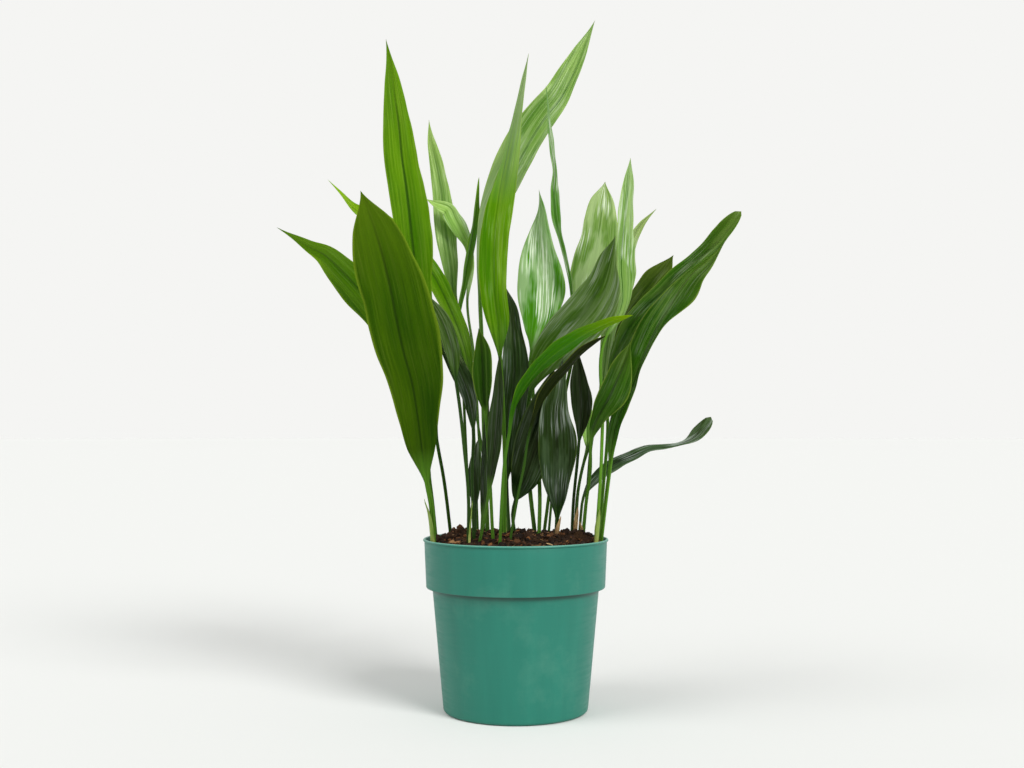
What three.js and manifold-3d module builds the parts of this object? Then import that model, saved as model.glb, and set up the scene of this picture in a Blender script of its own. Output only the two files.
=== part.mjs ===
// A potted cast iron plant, Aspidistra elatior: strap leaves on long stalks that rise one by one from creeping
// rhizomes in a plastic nursery pot. Millimetres. Z is up, X runs left to right and Y runs front to back.
// The origin is on the pot's axis, in the plane that the pot stands on.

import * as THREE from 'three';
import { mergeVertices } from 'three/addons/utils/BufferGeometryUtils.js';
import Module from 'manifold-3d';

const wasm = await Module();
wasm.setup();

// Clearance between pieces that touch
const gap = 0.3;

// Pot: a tapered body under a wider rim band with a small lip
const potHeight = 175;
const wall = 1.6;
const floorThickness = 2;
const footRadius = 74;
const footRounding = 3.5;
const bodyTopRadius = 85.3;
const bandBottom = 125.5;
const bandBottomRadius = 91.7;
const bandTopRadius = 94.2;
const lipRadius = 95;
const lipHeight = 3.6;
const edgeRounding = 0.7;
const innerChamfer = 2.5;
const potSides = 48;
const drainHoles = 8;
const drainHoleRadius = 4.5;
const drainHoleSides = 12;
const drainCircleRadius = 52;

// Soil: fills the pot and rises in a low dome
const soilCrest = 178;
const soilEdge = 169;

// Rhizomes: creeping stems just under the surface, which carry the leaves
const rhizomeRadius = 5;
const rhizomeDepth = 151;
const rhizomeSides = 8;
const rhizomeStep = 9;
const rhizomeEndRatio = 0.6;

// Leaves: a stalk foot stands on its rhizome, and the stalk flattens into the blade
const footDepth = rhizomeDepth + rhizomeRadius + 0.5;
const socketDrop = 3;
const stalkDepthRatio = 0.8;
const midribThickness = 1.5;
const tipThickness = 0.8;
const tipHalfWidth = 0.6;
const flattenedAt = 0.22;
const openedAt = 1 / 6;
const bladeStep = 30;
const stalkStep = 48;

// Sheaths: papery scale leaves round the feet of some stalks
const sheathThickness = 0.7;
const sheathRise = 1.2;
const sheathFootWrap = 110;
const sheathTipWrap = 25;
const sheathSteps = 5;
const sheathArcPoints = 5;

const colours = {
	pot: 0x3c8c78,
	soil: 0x2a1b12,
	rhizome: 0xa08a5c,
	sheath: 0x8f9a4a,
	sheathDry: 0xb09468,
	bright: 0x4f8f14,
	mid: 0x3b7420,
	pale: 0x6f9f58,
	dark: 0x2a4a22,
};

// Each route starts with the foot's X and Y on the soil and goes on through points in space to the tip.
// base counts the route point where the stalk becomes the blade. left and right are the widths from the
// midrib to each margin at every eighth of the blade; a plain leaf has width, its full width, and peak, how
// far along the blade it is widest, instead. turn is how far the face is turned from the front at base, middle
// and tip, in degrees, fold is how far each half rises from the midrib, roll is how far it bends back towards
// its edge, and rise and fall shape a plain leaf's two ends. The values for most leaves stand after the list.
const leaves = [
	{ name: 'leaf_tall_left', colour: 'bright', left: [7, 12, 15, 18, 21, 20, 11],
		right: [7, 10.5, 14.5, 22, 19, 14.5, 9], base: 2, stalk: 3.6, turn: [10, 18, 25],
		route: [[-68, 34], [-76, 31, 236], [-83, 26, 276], [-88, 20, 328], [-95, 16, 386], [-102, 14, 433],
			[-109, 12, 489], [-115, 12, 541], [-119, 11, 569], [-123, 11, 607], [-128, 12, 642],
			[-132, 13, 671], [-137, 14, 699]] },
	{ name: 'leaf_front_left', colour: 'bright', left: [15, 20, 23.5, 27, 28.5, 30, 22],
		right: [14, 23, 34, 39, 37, 29.5, 20], base: 2, stalk: 5, turn: [-5, 0, 10], fold: 12,
		route: [[-83, -22], [-85, -31, 211], [-89, -38, 234], [-93, -47, 266], [-97, -56, 300],
			[-102, -65, 332], [-110, -75, 364], [-116, -83, 394], [-122, -91, 427], [-131, -103, 465],
			[-140, -112, 493], [-147, -118, 512]] },
	{ name: 'leaf_low_left', colour: 'bright', left: [4, 9, 12, 17, 23, 17.5, 6],
		right: [5, 7.5, 11, 14, 16, 15, 7], base: 3, stalk: 3.6, turn: [18, 26, 32],
		route: [[-82, 6], [-86, 2, 214], [-89, -2, 240], [-90, -6, 271], [-106, -15, 329],
			[-123, -19, 370], [-142, -22, 405], [-161, -24, 430], [-178, -26, 448], [-194, -28, 463],
			[-211, -30, 472], [-227, -32, 482], [-242, -34, 491]] },
	{ name: 'leaf_back_left', colour: 'pale', left: [4, 9, 13, 15, 14, 8, 3],
		right: [8, 11, 11, 11, 13, 15, 5], base: 2, stalk: 3.4, turn: [35, 28, 25],
		route: [[-40, 32], [-44, 38, 276], [-47, 43, 329], [-56, 50, 377], [-74, 61, 424], [-98, 75, 468],
			[-125, 84, 496], [-154, 94, 517], [-181, 102, 534], [-196, 107, 552], [-212, 112, 569]] },
	{ name: 'leaf_light_left', colour: 'pale', left: [3, 7, 12, 14, 12, 9.5, 5.5],
		right: [2.5, 5, 8.5, 12, 11, 8.5, 6], base: 2, stalk: 3.2, turn: [25, 22, 15],
		route: [[-49, 54], [-54, 64, 275], [-60, 79, 374], [-64, 84, 413], [-69, 88, 437], [-71, 93, 462],
			[-76, 98, 496], [-80, 104, 525], [-85, 111, 563], [-90, 116, 589], [-96, 122, 615],
			[-99, 128, 642]] },
	{ name: 'leaf_folded_over', colour: 'pale', left: [3, 5, 6, 7, 10.5, 13, 9],
		right: [3, 4, 4, 7, 9, 6, 4], base: 3, stalk: 3.2, turn: [50, 18, 5],
		route: [[-33, 40], [-39, 52, 275], [-46, 74, 373], [-53, 84, 430], [-50, 87, 461], [-51, 90, 488],
			[-60, 90, 506], [-67, 89, 520], [-74, 87, 533], [-83, 84, 536], [-92, 80, 538],
			[-99, 78, 541]] },
	{ name: 'leaf_edge_left', colour: 'dark', width: 22, peak: 0.45, base: 3, stalk: 3, turn: [72, 70, 65],
		rise: 0.8,
		route: [[-28, 30], [-37, 45, 276], [-56, 66, 361], [-62, 71, 405], [-56, 72, 454], [-47, 72, 503],
			[-40, 72, 564]] },
	{ name: 'leaf_tall_middle', colour: 'bright', left: [12, 15, 15.5, 11, 5, 3, 2.5],
		right: [14, 15, 18, 20.5, 19, 12, 5], base: 4, stalk: 4, turn: [-18, -26, -35],
		route: [[-12, -10], [-11, -13, 235], [-12, -16, 286], [-14, -20, 332], [-16, -23, 361],
			[-17, -25, 373], [-18, -27, 391], [-21, -31, 417], [-22, -34, 440], [-22, -37, 473],
			[-16, -44, 527], [-8, -49, 566], [0, -54, 601], [7, -58, 632], [13, -62, 661]] },
	{ name: 'leaf_tall_right', colour: 'mid', left: [6, 13, 23, 27, 23, 20, 12],
		right: [7.5, 13, 14, 12.5, 12, 7.5, 4.5], base: 3, stalk: 4.4, turn: [10, 10, 10],
		route: [[-29, 14], [-33, 22, 276], [-36, 37, 382], [-38, 45, 430], [-37, 51, 467], [-27, 60, 520],
			[-8, 67, 559], [7, 72, 587], [19, 76, 609], [34, 81, 633], [50, 86, 654], [64, 92, 682],
			[77, 98, 713], [90, 104, 749]] },
	{ name: 'leaf_twisted_thin', colour: 'mid', left: [3.8, 4.2, 7, 6, 3.6, 4, 3.2],
		right: [3.8, 4.2, 7, 6, 3.6, 4, 3.2], base: 3, stalk: 3.2, turn: [60, 40, 60],
		route: [[35, 36], [45, 31, 286], [56, 23, 376], [59, 18, 427], [57, 17, 443], [51, 16, 468],
			[47, 16, 485], [43, 15, 503], [41, 15, 519], [40, 15, 538], [41, 15, 558], [39, 15, 575],
			[36, 14, 596], [34, 14, 623], [32, 14, 649]] },
	{ name: 'leaf_glossy_middle', colour: 'mid', left: [15, 24, 28, 27, 23, 14, 3.5],
		right: [9, 18, 24, 20, 12, 7.5, 4.5], base: 4, stalk: 4, turn: [0, 0, 0], fold: 14,
		route: [[24, 0], [25, 6, 214], [22, 13, 276], [18, 21, 328], [17, 26, 369], [22, 28, 384],
			[27, 30, 405], [29, 32, 430], [30, 33, 449], [30, 35, 467], [29, 38, 501], [27, 39, 527],
			[25, 40, 544]] },
	{ name: 'leaf_glossy_right', colour: 'pale', left: [11, 18, 23, 23, 19, 18, 14],
		right: [11, 19, 24, 26, 24, 19, 12], base: 3, stalk: 3.6, turn: [0, 0, 0], fold: 8,
		route: [[30, 44], [46, 54, 286], [59, 62, 351], [67, 67, 386], [76, 71, 423], [83, 76, 456],
			[90, 81, 490], [95, 85, 524], [100, 92, 563]] },
	{ name: 'leaf_narrow_right', colour: 'pale', left: [5, 7, 8, 13, 15, 13, 7.5],
		right: [8, 12, 20, 19, 11, 8, 6], base: 3, stalk: 4, turn: [58, 48, 25], fold: 22,
		route: [[81, -24], [86, -28, 245], [88, -28, 296], [92, -20, 381], [104, -17, 402],
			[109, -15, 418], [109, -13, 435], [108, -12, 452], [109, -10, 472], [113, -8, 506],
			[116, -7, 534], [117, -7, 549], [119, -6, 568]] },
	{ name: 'leaf_bent_tip', colour: 'mid', left: [4, 9, 13, 14, 12, 9, 5], right: [3, 5, 8, 10, 10, 8, 5],
		base: 4, stalk: 3.4, turn: [30, 35, 40],
		route: [[62, 26], [66, 25, 225], [72, 24, 253], [79, 22, 274], [86, 19, 301], [91, 16, 336],
			[98, 20, 386], [110, 34, 435], [121, 50, 480], [136, 62, 508], [155, 72, 529]] },
	{ name: 'leaf_broad_grey', colour: 'mid', left: [9, 16.5, 20.5, 20.5, 19.5, 15, 11],
		right: [10.5, 20, 27, 30, 30, 21, 7], base: 3, stalk: 4.4, turn: [-10, -15, -30], fold: 12,
		route: [[20, 8], [14, 7, 234], [12, 3, 286], [15, -9, 325], [21, -17, 343], [34, -26, 365],
			[51, -34, 386], [71, -40, 408], [84, -46, 429], [92, -51, 451], [99, -58, 479]] },
	{ name: 'leaf_bright_arch', colour: 'bright', width: 38, peak: 0.5, base: 3, stalk: 4,
		turn: [-100, -112, -112], fold: 10,
		route: [[-16, -62], [-14, -65, 218], [-11, -69, 257], [-7, -73, 282], [-1, -80, 311],
			[18, -93, 341], [52, -115, 369], [83, -134, 385], [107, -150, 391]] },
	{ name: 'leaf_olive_arch', colour: 'dark', width: 32, peak: 0.5, base: 3, stalk: 3.6,
		turn: [-100, -108, -108], fold: 10,
		route: [[-6, -42], [2, -42, 222], [8, -42, 251], [12, -44, 278], [19, -48, 301], [31, -52, 326],
			[51, -57, 349], [73, -60, 370], [89, -62, 379]] },
	{ name: 'leaf_far_right', colour: 'dark', left: [6, 9.5, 11, 11, 10, 10, 11],
		right: [8.5, 12, 11, 10, 10, 10, 7], base: 3, stalk: 3.6, turn: [-35, -30, -25],
		route: [[85, 4], [91, 3, 234], [95, 1, 286], [95, -1, 333], [104, -7, 366], [117, -11, 391],
			[133, -15, 411], [149, -19, 426], [166, -24, 443], [185, -28, 459], [206, -34, 479],
			[218, -37, 494], [227, -40, 506]] },
	{ name: 'leaf_broad_right', colour: 'mid', left: [8, 10, 13, 20, 18, 9, 3],
		right: [6, 7, 4, 4, 9, 20, 11], base: 2, stalk: 4.4, turn: [-45, -40, -8], fold: 16,
		route: [[87, -6], [93, -14, 225], [96, -18, 251], [98, -21, 271], [102, -25, 291], [109, -30, 311],
			[118, -35, 331], [124, -41, 350], [132, -46, 369], [140, -52, 387], [150, -58, 404],
			[161, -65, 423], [172, -72, 438], [185, -79, 450], [195, -83, 460], [203, -87, 469]] },
	{ name: 'leaf_olive_right', colour: 'dark', left: [3.5, 6, 8, 10, 12, 13, 8.5],
		right: [5, 10, 14, 16, 16, 14, 10], base: 3, stalk: 3.4, turn: [-20, -25, -30],
		route: [[72, 48], [77, 50, 224], [82, 54, 275], [104, 58, 362], [111, 62, 389], [123, 67, 414],
			[136, 72, 432], [152, 77, 451], [165, 82, 466], [175, 86, 480]] },
	{ name: 'leaf_front_right', colour: 'mid', left: [4, 7, 11, 12.5, 12, 12, 8],
		right: [6, 9, 13, 17, 16, 10.5, 4], base: 3, stalk: 3.4, turn: [0, 0, 0],
		route: [[69, 6], [72, -2, 208], [76, -14, 245], [76, -28, 276], [78, -36, 289], [85, -46, 305],
			[92, -54, 318], [99, -61, 334], [105, -67, 348], [109, -72, 360], [111, -78, 372]] },
	{ name: 'leaf_low_right', colour: 'dark', left: [9, 12, 11, 8, 4, 3.5, 9],
		right: [9, 12, 11, 8, 4, 3.5, 9], base: 2, stalk: 3.4, turn: [-60, -60, -40], fold: 8,
		route: [[66, 18], [68, 19, 197], [71, 22, 216], [79, 26, 229], [93, 27, 243], [108, 27, 253],
			[123, 26, 259], [139, 26, 266], [157, 25, 269], [173, 25, 272], [183, 24, 276], [193, 23, 284],
			[200, 22, 292], [205, 22, 300]] },
	{ name: 'leaf_dark_front', colour: 'dark', left: [8, 15.5, 19.5, 19.5, 17.5, 13, 8.5],
		right: [10, 14, 18.5, 20, 15, 10, 5.5], base: 1, stalk: 4.4, turn: [5, 5, 5], fold: 8,
		route: [[42, 12], [43, 9, 195], [42, 0, 224], [43, -10, 252], [42, -19, 280], [41, -27, 306],
			[44, -34, 328], [47, -42, 358]] },
	{ name: 'leaf_black_back', colour: 'dark', left: [5, 9, 12, 13, 13, 10, 5],
		right: [6, 10, 12, 12, 9, 6, 3], base: 3, stalk: 3.4, turn: [20, 20, 20],
		route: [[60, 50], [62, 49, 211], [66, 47, 252], [68, 47, 275], [70, 47, 308], [69, 48, 340],
			[66, 50, 374]] },
	{ name: 'leaf_small_back', colour: 'pale', width: 14, peak: 0.5, base: 3, stalk: 2.6, turn: [0, 0, 0],
		route: [[64, 40], [67, 42, 222], [72, 50, 248], [77, 59, 268], [78, 64, 288], [80, 70, 317]] },
	{ name: 'leaf_dark_middle', colour: 'dark', left: [4, 8, 12, 14.5, 13, 9.5, 6],
		right: [12, 18, 20, 18, 14.5, 9.5, 7], base: 2, stalk: 5, turn: [10, 0, -10],
		route: [[-7, 8], [-9, 12, 208], [-10, 14, 234], [-8, 21, 276], [-4, 28, 312], [-1, 33, 350],
			[-2, 38, 387], [-5, 43, 417], [-11, 48, 441]] },
	{ name: 'leaf_small_upright', colour: 'mid', left: [4.5, 8, 10, 11, 9.5, 7, 4],
		right: [4, 7, 9, 9.5, 10, 9, 5], base: 2, stalk: 3.4, turn: [0, 0, 0],
		route: [[-23, -32], [-26, -33, 236], [-30, -39, 301], [-32, -42, 321], [-33, -46, 344],
			[-34, -51, 365], [-37, -56, 387]] },
	{ name: 'leaf_grey_left', colour: 'pale', width: 18, peak: 0.5, base: 4, stalk: 3.4, turn: [10, 20, 30],
		route: [[-47, -50], [-47, -50, 223], [-51, -49, 266], [-56, -49, 311], [-60, -48, 338],
			[-64, -47, 368], [-75, -46, 398], [-90, -44, 422]] },
	{ name: 'leaf_dark_left', colour: 'dark', width: 20, peak: 0.5, base: 2, stalk: 3.4, turn: [10, 20, 30],
		route: [[-42, -26], [-44, -27, 243], [-43, -28, 288], [-48, -27, 321], [-61, -27, 353],
			[-76, -26, 383], [-89, -26, 410]] },
	{ name: 'leaf_small_dark', colour: 'dark', width: 14, peak: 0.4, base: 1, stalk: 3, turn: [0, 0, 0],
		rise: 0.8, fall: 0.8,
		route: [[-42, 6], [-42, 6, 209], [-43, 5, 234], [-39, 2, 276]] },
	{ name: 'leaf_edge_young', colour: 'mid', width: 15, peak: 0.45, base: 1, stalk: 3.2,
		turn: [50, 50, 50], rise: 0.8, fall: 0.8,
		route: [[-35, -12], [-34, -12, 199], [-32, -16, 250], [-28, -22, 319]] },
	{ name: 'leaf_lean_young', colour: 'mid', width: 17, peak: 0.45, base: 2, stalk: 3.2,
		turn: [-30, -30, -30], rise: 0.8, fall: 0.8,
		route: [[-36, -38], [-30, -40, 204], [-27, -42, 226], [-22, -44, 261], [-19, -46, 296],
			[-17, -46, 326], [-16, -46, 361]] },
	{ name: 'leaf_dark_low', colour: 'dark', width: 46, peak: 0.5, base: 2, stalk: 3.6, turn: [0, 0, 0],
		fold: 10, rise: 0.8, fall: 0.8,
		route: [[-1, 14], [-3, 11, 201], [0, 6, 214], [9, -3, 236], [20, -8, 269], [31, -13, 305],
			[39, -20, 347]] },
].map( ( leaf ) => ( { fold: 18, roll: 14, rise: 0.9, fall: 0.9, ...leaf } ) );

// Each rhizome creeps under the feet of its own leaves, so its route is given in plan
const rhizomes = [
	{ name: 'rhizome_left', route: [[-79, -29], [-81, -20], [-80, 6], [-67, 34], [-49, 54]] },
	{ name: 'rhizome_middle_left', route: [[-48, -56], [-41, -34], [-39, -12], [-41, 8], [-38, 34], [-31, 43]] },
	{ name: 'rhizome_inner_left', route: [[-23, -38], [-24, -8], [-28, 14], [-27, 32]] },
	{ name: 'rhizome_front', route: [[-17, -66], [-8, -43], [-11, -10], [-6, 8], [0, 18]] },
	{ name: 'rhizome_middle', route: [[45, 12], [33, 4], [22, 4], [23, 20], [34, 35], [29, 48]] },
	{ name: 'rhizome_inner_right', route: [[70, -2], [68, 8], [65, 18], [62, 28], [63, 40], [59, 53]] },
	{ name: 'rhizome_right', route: [[77, -30], [84, -8], [83, 6], [79, 26], [72, 50]] },
];

// A sheath hugs its leaf's stalk: height above the soil, the side that it covers and how far its tip stands off
const sheaths = [
	{ name: 'sheath_front_left', leaf: 'leaf_front_left', colour: 'sheath', height: 46, side: 190, flare: 3 },
	{ name: 'sheath_grey_left', leaf: 'leaf_grey_left', colour: 'sheath', height: 40, side: 10, flare: 1.5 },
	{ name: 'sheath_tall_middle', leaf: 'leaf_tall_middle', colour: 'sheath', height: 26, side: 120, flare: 1.5 },
	{ name: 'sheath_narrow_right', leaf: 'leaf_narrow_right', colour: 'sheath', height: 34, side: 230, flare: 1 },
	{ name: 'sheath_dark_front', leaf: 'leaf_dark_front', colour: 'sheathDry', height: 20, side: 330, flare: 1.5 },
	{ name: 'sheath_front_right', leaf: 'leaf_front_right', colour: 'sheathDry', height: 18, side: 200, flare: 3 },
	{ name: 'sheath_bent_tip', leaf: 'leaf_bent_tip', colour: 'sheathDry', height: 30, side: 270, flare: 1 },
];

function radians( degrees ) {

	return THREE.MathUtils.degToRad( degrees );

}

function soilTop( x, y ) {

	const reach = Math.hypot( x, y ) / bandTopRadius;
	return soilCrest - ( soilCrest - soilEdge ) * reach * reach;

}

// A smooth curve through points, measured along its chords
function smoothRoute( points ) {

	const at = [ 0 ];
	for ( let i = 1; i < points.length; i ++ ) at.push( at[ i - 1 ] + points[ i ].distanceTo( points[ i - 1 ] ) );
	const last = points.length - 1;
	const chord = ( i ) => points[ i + 1 ].clone().sub( points[ i ] ).divideScalar( at[ i + 1 ] - at[ i ] );
	const slopes = points.map( ( point, i ) => {

		if ( i === 0 || i === last ) return null;
		const before = at[ i ] - at[ i - 1 ];
		const after = at[ i + 1 ] - at[ i ];
		return chord( i ).multiplyScalar( before ).addScaledVector( chord( i - 1 ), after )
			.divideScalar( before + after );

	} );
	slopes[ 0 ] = chord( 0 ).multiplyScalar( 1.5 ).addScaledVector( slopes[ 1 ], - 0.5 );
	slopes[ last ] = chord( last - 1 ).multiplyScalar( 1.5 ).addScaledVector( slopes[ last - 1 ], - 0.5 );

	function pointAt( u ) {

		let i = 0;
		while ( i < last - 1 && u > at[ i + 1 ] ) i ++;
		const span = at[ i + 1 ] - at[ i ];
		const s = ( u - at[ i ] ) / span;
		const s2 = s * s;
		const s3 = s2 * s;
		return new THREE.Vector3()
			.addScaledVector( points[ i ], 2 * s3 - 3 * s2 + 1 )
			.addScaledVector( slopes[ i ], ( s3 - 2 * s2 + s ) * span )
			.addScaledVector( points[ i + 1 ], 3 * s2 - 2 * s3 )
			.addScaledVector( slopes[ i + 1 ], ( s3 - s2 ) * span );

	}

	function directionAt( u ) {

		const step = 0.5;
		const behind = pointAt( Math.max( u - step, 0 ) );
		return pointAt( Math.min( u + step, at[ last ] ) ).sub( behind ).normalize();

	}

	return { at, length: at[ last ], pointAt, directionAt };

}

// A closed body through rings of points, with a flat strip over each end. Quads in the first half of a ring are
// split one way and the rest the other way, so that the two faces of a twisted blade stay parallel.
function closedLoft( rings ) {

	const count = rings[ 0 ].length;
	const positions = rings.flat().flatMap( ( point ) => point.toArray() );
	const faces = [];
	for ( let i = 0; i < rings.length - 1; i ++ ) {

		for ( let j = 0; j < count; j ++ ) {

			const a = i * count + j;
			const b = i * count + ( j + 1 ) % count;
			const c = b + count;
			const d = a + count;
			if ( j < count / 2 ) faces.push( a, b, c, a, c, d );
			else faces.push( a, b, d, b, c, d );

		}

	}

	const end = ( rings.length - 1 ) * count;
	for ( let j = 0; j < count / 2 - 1; j ++ ) {

		const k = count - 1 - j;
		faces.push( k, k - 1, j + 1, k, j + 1, j );
		faces.push( end + k, end + j, end + j + 1, end + k, end + j + 1, end + k - 1 );

	}

	const geometry = new THREE.BufferGeometry();
	geometry.setAttribute( 'position', new THREE.Float32BufferAttribute( positions, 3 ) );
	geometry.setIndex( faces );
	return geometry;

}

function toSolid( geometry ) {

	const bare = geometry.clone();
	bare.deleteAttribute( 'normal' );
	bare.deleteAttribute( 'uv' );
	const merged = mergeVertices( bare, 1e-3 );
	return new wasm.Manifold( new wasm.Mesh( {
		numProp: 3,
		vertProperties: new Float32Array( merged.attributes.position.array ),
		triVerts: new Uint32Array( merged.index.array ),
	} ) );

}

function toGeometry( solid ) {

	const mesh = solid.getMesh();
	const geometry = new THREE.BufferGeometry();
	geometry.setAttribute( 'position', new THREE.Float32BufferAttribute( mesh.vertProperties, 3 ) );
	geometry.setIndex( new THREE.Uint32BufferAttribute( mesh.triVerts, 1 ) );
	return geometry;

}

function turned( profile, sides ) {

	const points = profile.map( ( [ radius, height ] ) => new THREE.Vector2( radius, height ) );
	return new THREE.LatheGeometry( points, sides ).rotateX( Math.PI / 2 );

}

function potGeometry() {

	const innerTop = bandTopRadius - wall;
	const innerBandBottom = bandBottomRadius - wall;
	const innerBodyTop = bodyTopRadius - wall;
	const innerFoot = footRadius - wall;
	const shelf = bandBottom + wall;
	let pot = toSolid( turned( [
		[ 0, 0 ],
		[ footRadius - footRounding, 0 ],
		[ footRadius - 0.3 * footRounding, 0.3 * footRounding ],
		[ footRadius, footRounding ],
		[ bodyTopRadius, bandBottom ],
		[ bandBottomRadius - edgeRounding, bandBottom ],
		[ bandBottomRadius, bandBottom + edgeRounding ],
		[ bandTopRadius, potHeight - lipHeight ],
		[ lipRadius, potHeight - 0.5 * lipHeight ],
		[ lipRadius, potHeight - edgeRounding ],
		[ lipRadius - edgeRounding, potHeight ],
		[ innerTop + edgeRounding, potHeight ],
		[ innerTop, potHeight - edgeRounding ],
		[ innerBandBottom, shelf ],
		[ innerBodyTop, shelf ],
		[ innerFoot, floorThickness + innerChamfer ],
		[ innerFoot - innerChamfer, floorThickness ],
		[ 0, floorThickness ],
	], potSides ) );
	for ( let i = 0; i < drainHoles; i ++ ) {

		const angle = 2 * Math.PI * i / drainHoles;
		const hole = new THREE.CylinderGeometry( drainHoleRadius, drainHoleRadius, 3 * floorThickness,
			drainHoleSides );
		hole.rotateX( Math.PI / 2 );
		hole.translate( drainCircleRadius * Math.cos( angle ), drainCircleRadius * Math.sin( angle ), 0 );
		pot = pot.subtract( toSolid( hole ) );

	}

	return toGeometry( pot );

}

// The leaf's route, from its foot on the rhizome, through the soil's surface, to the tip
function leafRoute( leaf ) {

	const [ [ x, y ], ...above ] = leaf.route;
	const points = above.map( ( point ) => new THREE.Vector3( ...point ) );
	const surface = new THREE.Vector3( x, y, soilTop( x, y ) );
	const down = surface.clone().sub( points[ 0 ] ).normalize();
	const buried = ( depth ) => surface.clone().addScaledVector( down, ( depth - surface.z ) / down.z );
	return smoothRoute( [ buried( footDepth ), surface, ...points ] );

}

// Where the stalk's two axes lie: across is its width's direction and face is the way its upper side looks
function leafAxes( direction, turn ) {

	const right = new THREE.Vector3( direction.z, 0, - direction.x ).normalize();
	const front = right.clone().cross( direction );
	const cos = Math.cos( radians( turn ) );
	const sin = Math.sin( radians( turn ) );
	return {
		across: right.clone().multiplyScalar( cos ).addScaledVector( front, - sin ),
		face: front.clone().multiplyScalar( cos ).addScaledVector( right, sin ),
	};

}

function turnAt( leaf, t ) {

	const [ base, middle, tip ] = leaf.turn;
	return t < 0.5 ? base + ( middle - base ) * t * 2 : middle + ( tip - middle ) * ( t * 2 - 1 );

}

// The width from the midrib to the margin on the left (s below 0) or the right, at t from 0 at the blade's base
// to 1 at its tip: a smooth line through the leaf's own widths, or a plain lens shape
function halfWidthAt( leaf, t, s ) {

	const stalk = leaf.stalk / 2;
	if ( leaf.left ) {

		const knots = [ stalk, ...( s < 0 ? leaf.left : leaf.right ), 0 ];
		const last = knots.length - 1;
		const i = Math.min( Math.floor( t * last ), last - 1 );
		const [ a, b, c, d ] = [ - 1, 0, 1, 2 ].map( ( j ) => knots[ THREE.MathUtils.clamp( i + j, 0, last ) ] );
		const q = t * last - i;
		const width = b + q / 2 * ( c - a + q * ( 2 * a - 5 * b + 4 * c - d + q * ( 3 * b - a - 3 * c + d ) ) );
		return Math.max( width, tipHalfWidth );

	}

	const widest = leaf.width / 2;
	if ( t < leaf.peak ) return stalk + ( widest - stalk ) * Math.sin( Math.PI / 2 * t / leaf.peak ) ** leaf.rise;
	const fall = Math.sin( Math.PI / 2 * Math.max( 1 - t, 0 ) / ( 1 - leaf.peak ) ) ** leaf.fall;
	return Math.max( widest * fall, tipHalfWidth );

}

// A point of the blade's middle surface, s half widths from the midrib, as distances across it and towards the
// face
function bladeArc( leaf, s, t ) {

	const open = Math.min( 1, t / openedAt );
	const fold = radians( leaf.fold ) * open;
	const roll = radians( leaf.roll ) * open + 1e-4;
	const reach = Math.abs( s );
	return [
		Math.sign( s ) * ( Math.sin( fold ) - Math.sin( fold - roll * reach ) ) / roll,
		( Math.cos( fold - roll * reach ) - Math.cos( fold ) ) / roll,
	];

}

const ringAcross = [ - 1, - 0.55, 0, 0.55, 1, 0.55, 0, - 0.55 ];
const ringSide = [ 0, 1, 1, 1, 0, - 1, - 1, - 1 ];

// One ring of eight points round the leaf at t along the blade, or round the stalk where t is 0
function leafRing( leaf, route, u, t, grow = 0 ) {

	const centre = route.pointAt( u );
	const { across, face } = leafAxes( route.directionAt( u ), turnAt( leaf, t ) );
	const stalkThickness = leaf.stalk * stalkDepthRatio;
	const flatten = Math.min( 1, t / flattenedAt );
	const lamina = midribThickness + ( tipThickness - midribThickness ) * t;
	const thickness = stalkThickness + ( lamina - stalkThickness ) * flatten + 2 * grow;
	return ringAcross.map( ( s, i ) => {

		const half = ( t > 0 ? halfWidthAt( leaf, t, s ) : leaf.stalk / 2 ) + grow;
		const [ along, lift ] = t > 0 ? bladeArc( leaf, s, t ) : [ s, 0 ];
		const off = ringSide[ i ] * thickness / 2 * Math.sqrt( 1 - s * s );
		return centre.clone().addScaledVector( across, along * half ).addScaledVector( face, lift * half + off );

	} );

}

// Where the stalk's rings lie along the route, from the foot to just under the blade
function stalkStations( baseAt ) {

	const count = THREE.MathUtils.clamp( Math.round( baseAt / stalkStep ), 2, 7 );
	return Array.from( { length: count }, ( _, i ) => baseAt * i / count );

}

function leafGeometry( leaf ) {

	const route = leafRoute( leaf );
	const baseAt = route.at[ leaf.base + 1 ];
	const bladeLength = route.length - baseAt;
	const bladeRings = THREE.MathUtils.clamp( Math.round( bladeLength / bladeStep ), 6, 12 );
	const rings = stalkStations( baseAt ).map( ( u ) => leafRing( leaf, route, u, 0 ) );
	for ( let i = 0; i <= bladeRings; i ++ ) {

		const t = i / bladeRings;
		rings.push( leafRing( leaf, route, baseAt + bladeLength * t, t ) );

	}

	return closedLoft( rings );

}

// The hole that a stalk's foot stands in
function socketSolid( leaf ) {

	const route = leafRoute( leaf );
	const baseAt = route.at[ leaf.base + 1 ];
	const stations = [ ...stalkStations( baseAt ), baseAt ];
	const above = stations.findIndex( ( u ) => u > route.at[ 1 ] + 4 );
	const rings = stations.slice( 0, above + 1 ).map( ( u ) => leafRing( leaf, route, u, 0, gap ) );
	const down = route.directionAt( 0 ).multiplyScalar( - socketDrop );
	rings.unshift( rings[ 0 ].map( ( point ) => point.clone().add( down ) ) );
	return toSolid( closedLoft( rings ) );

}

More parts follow.
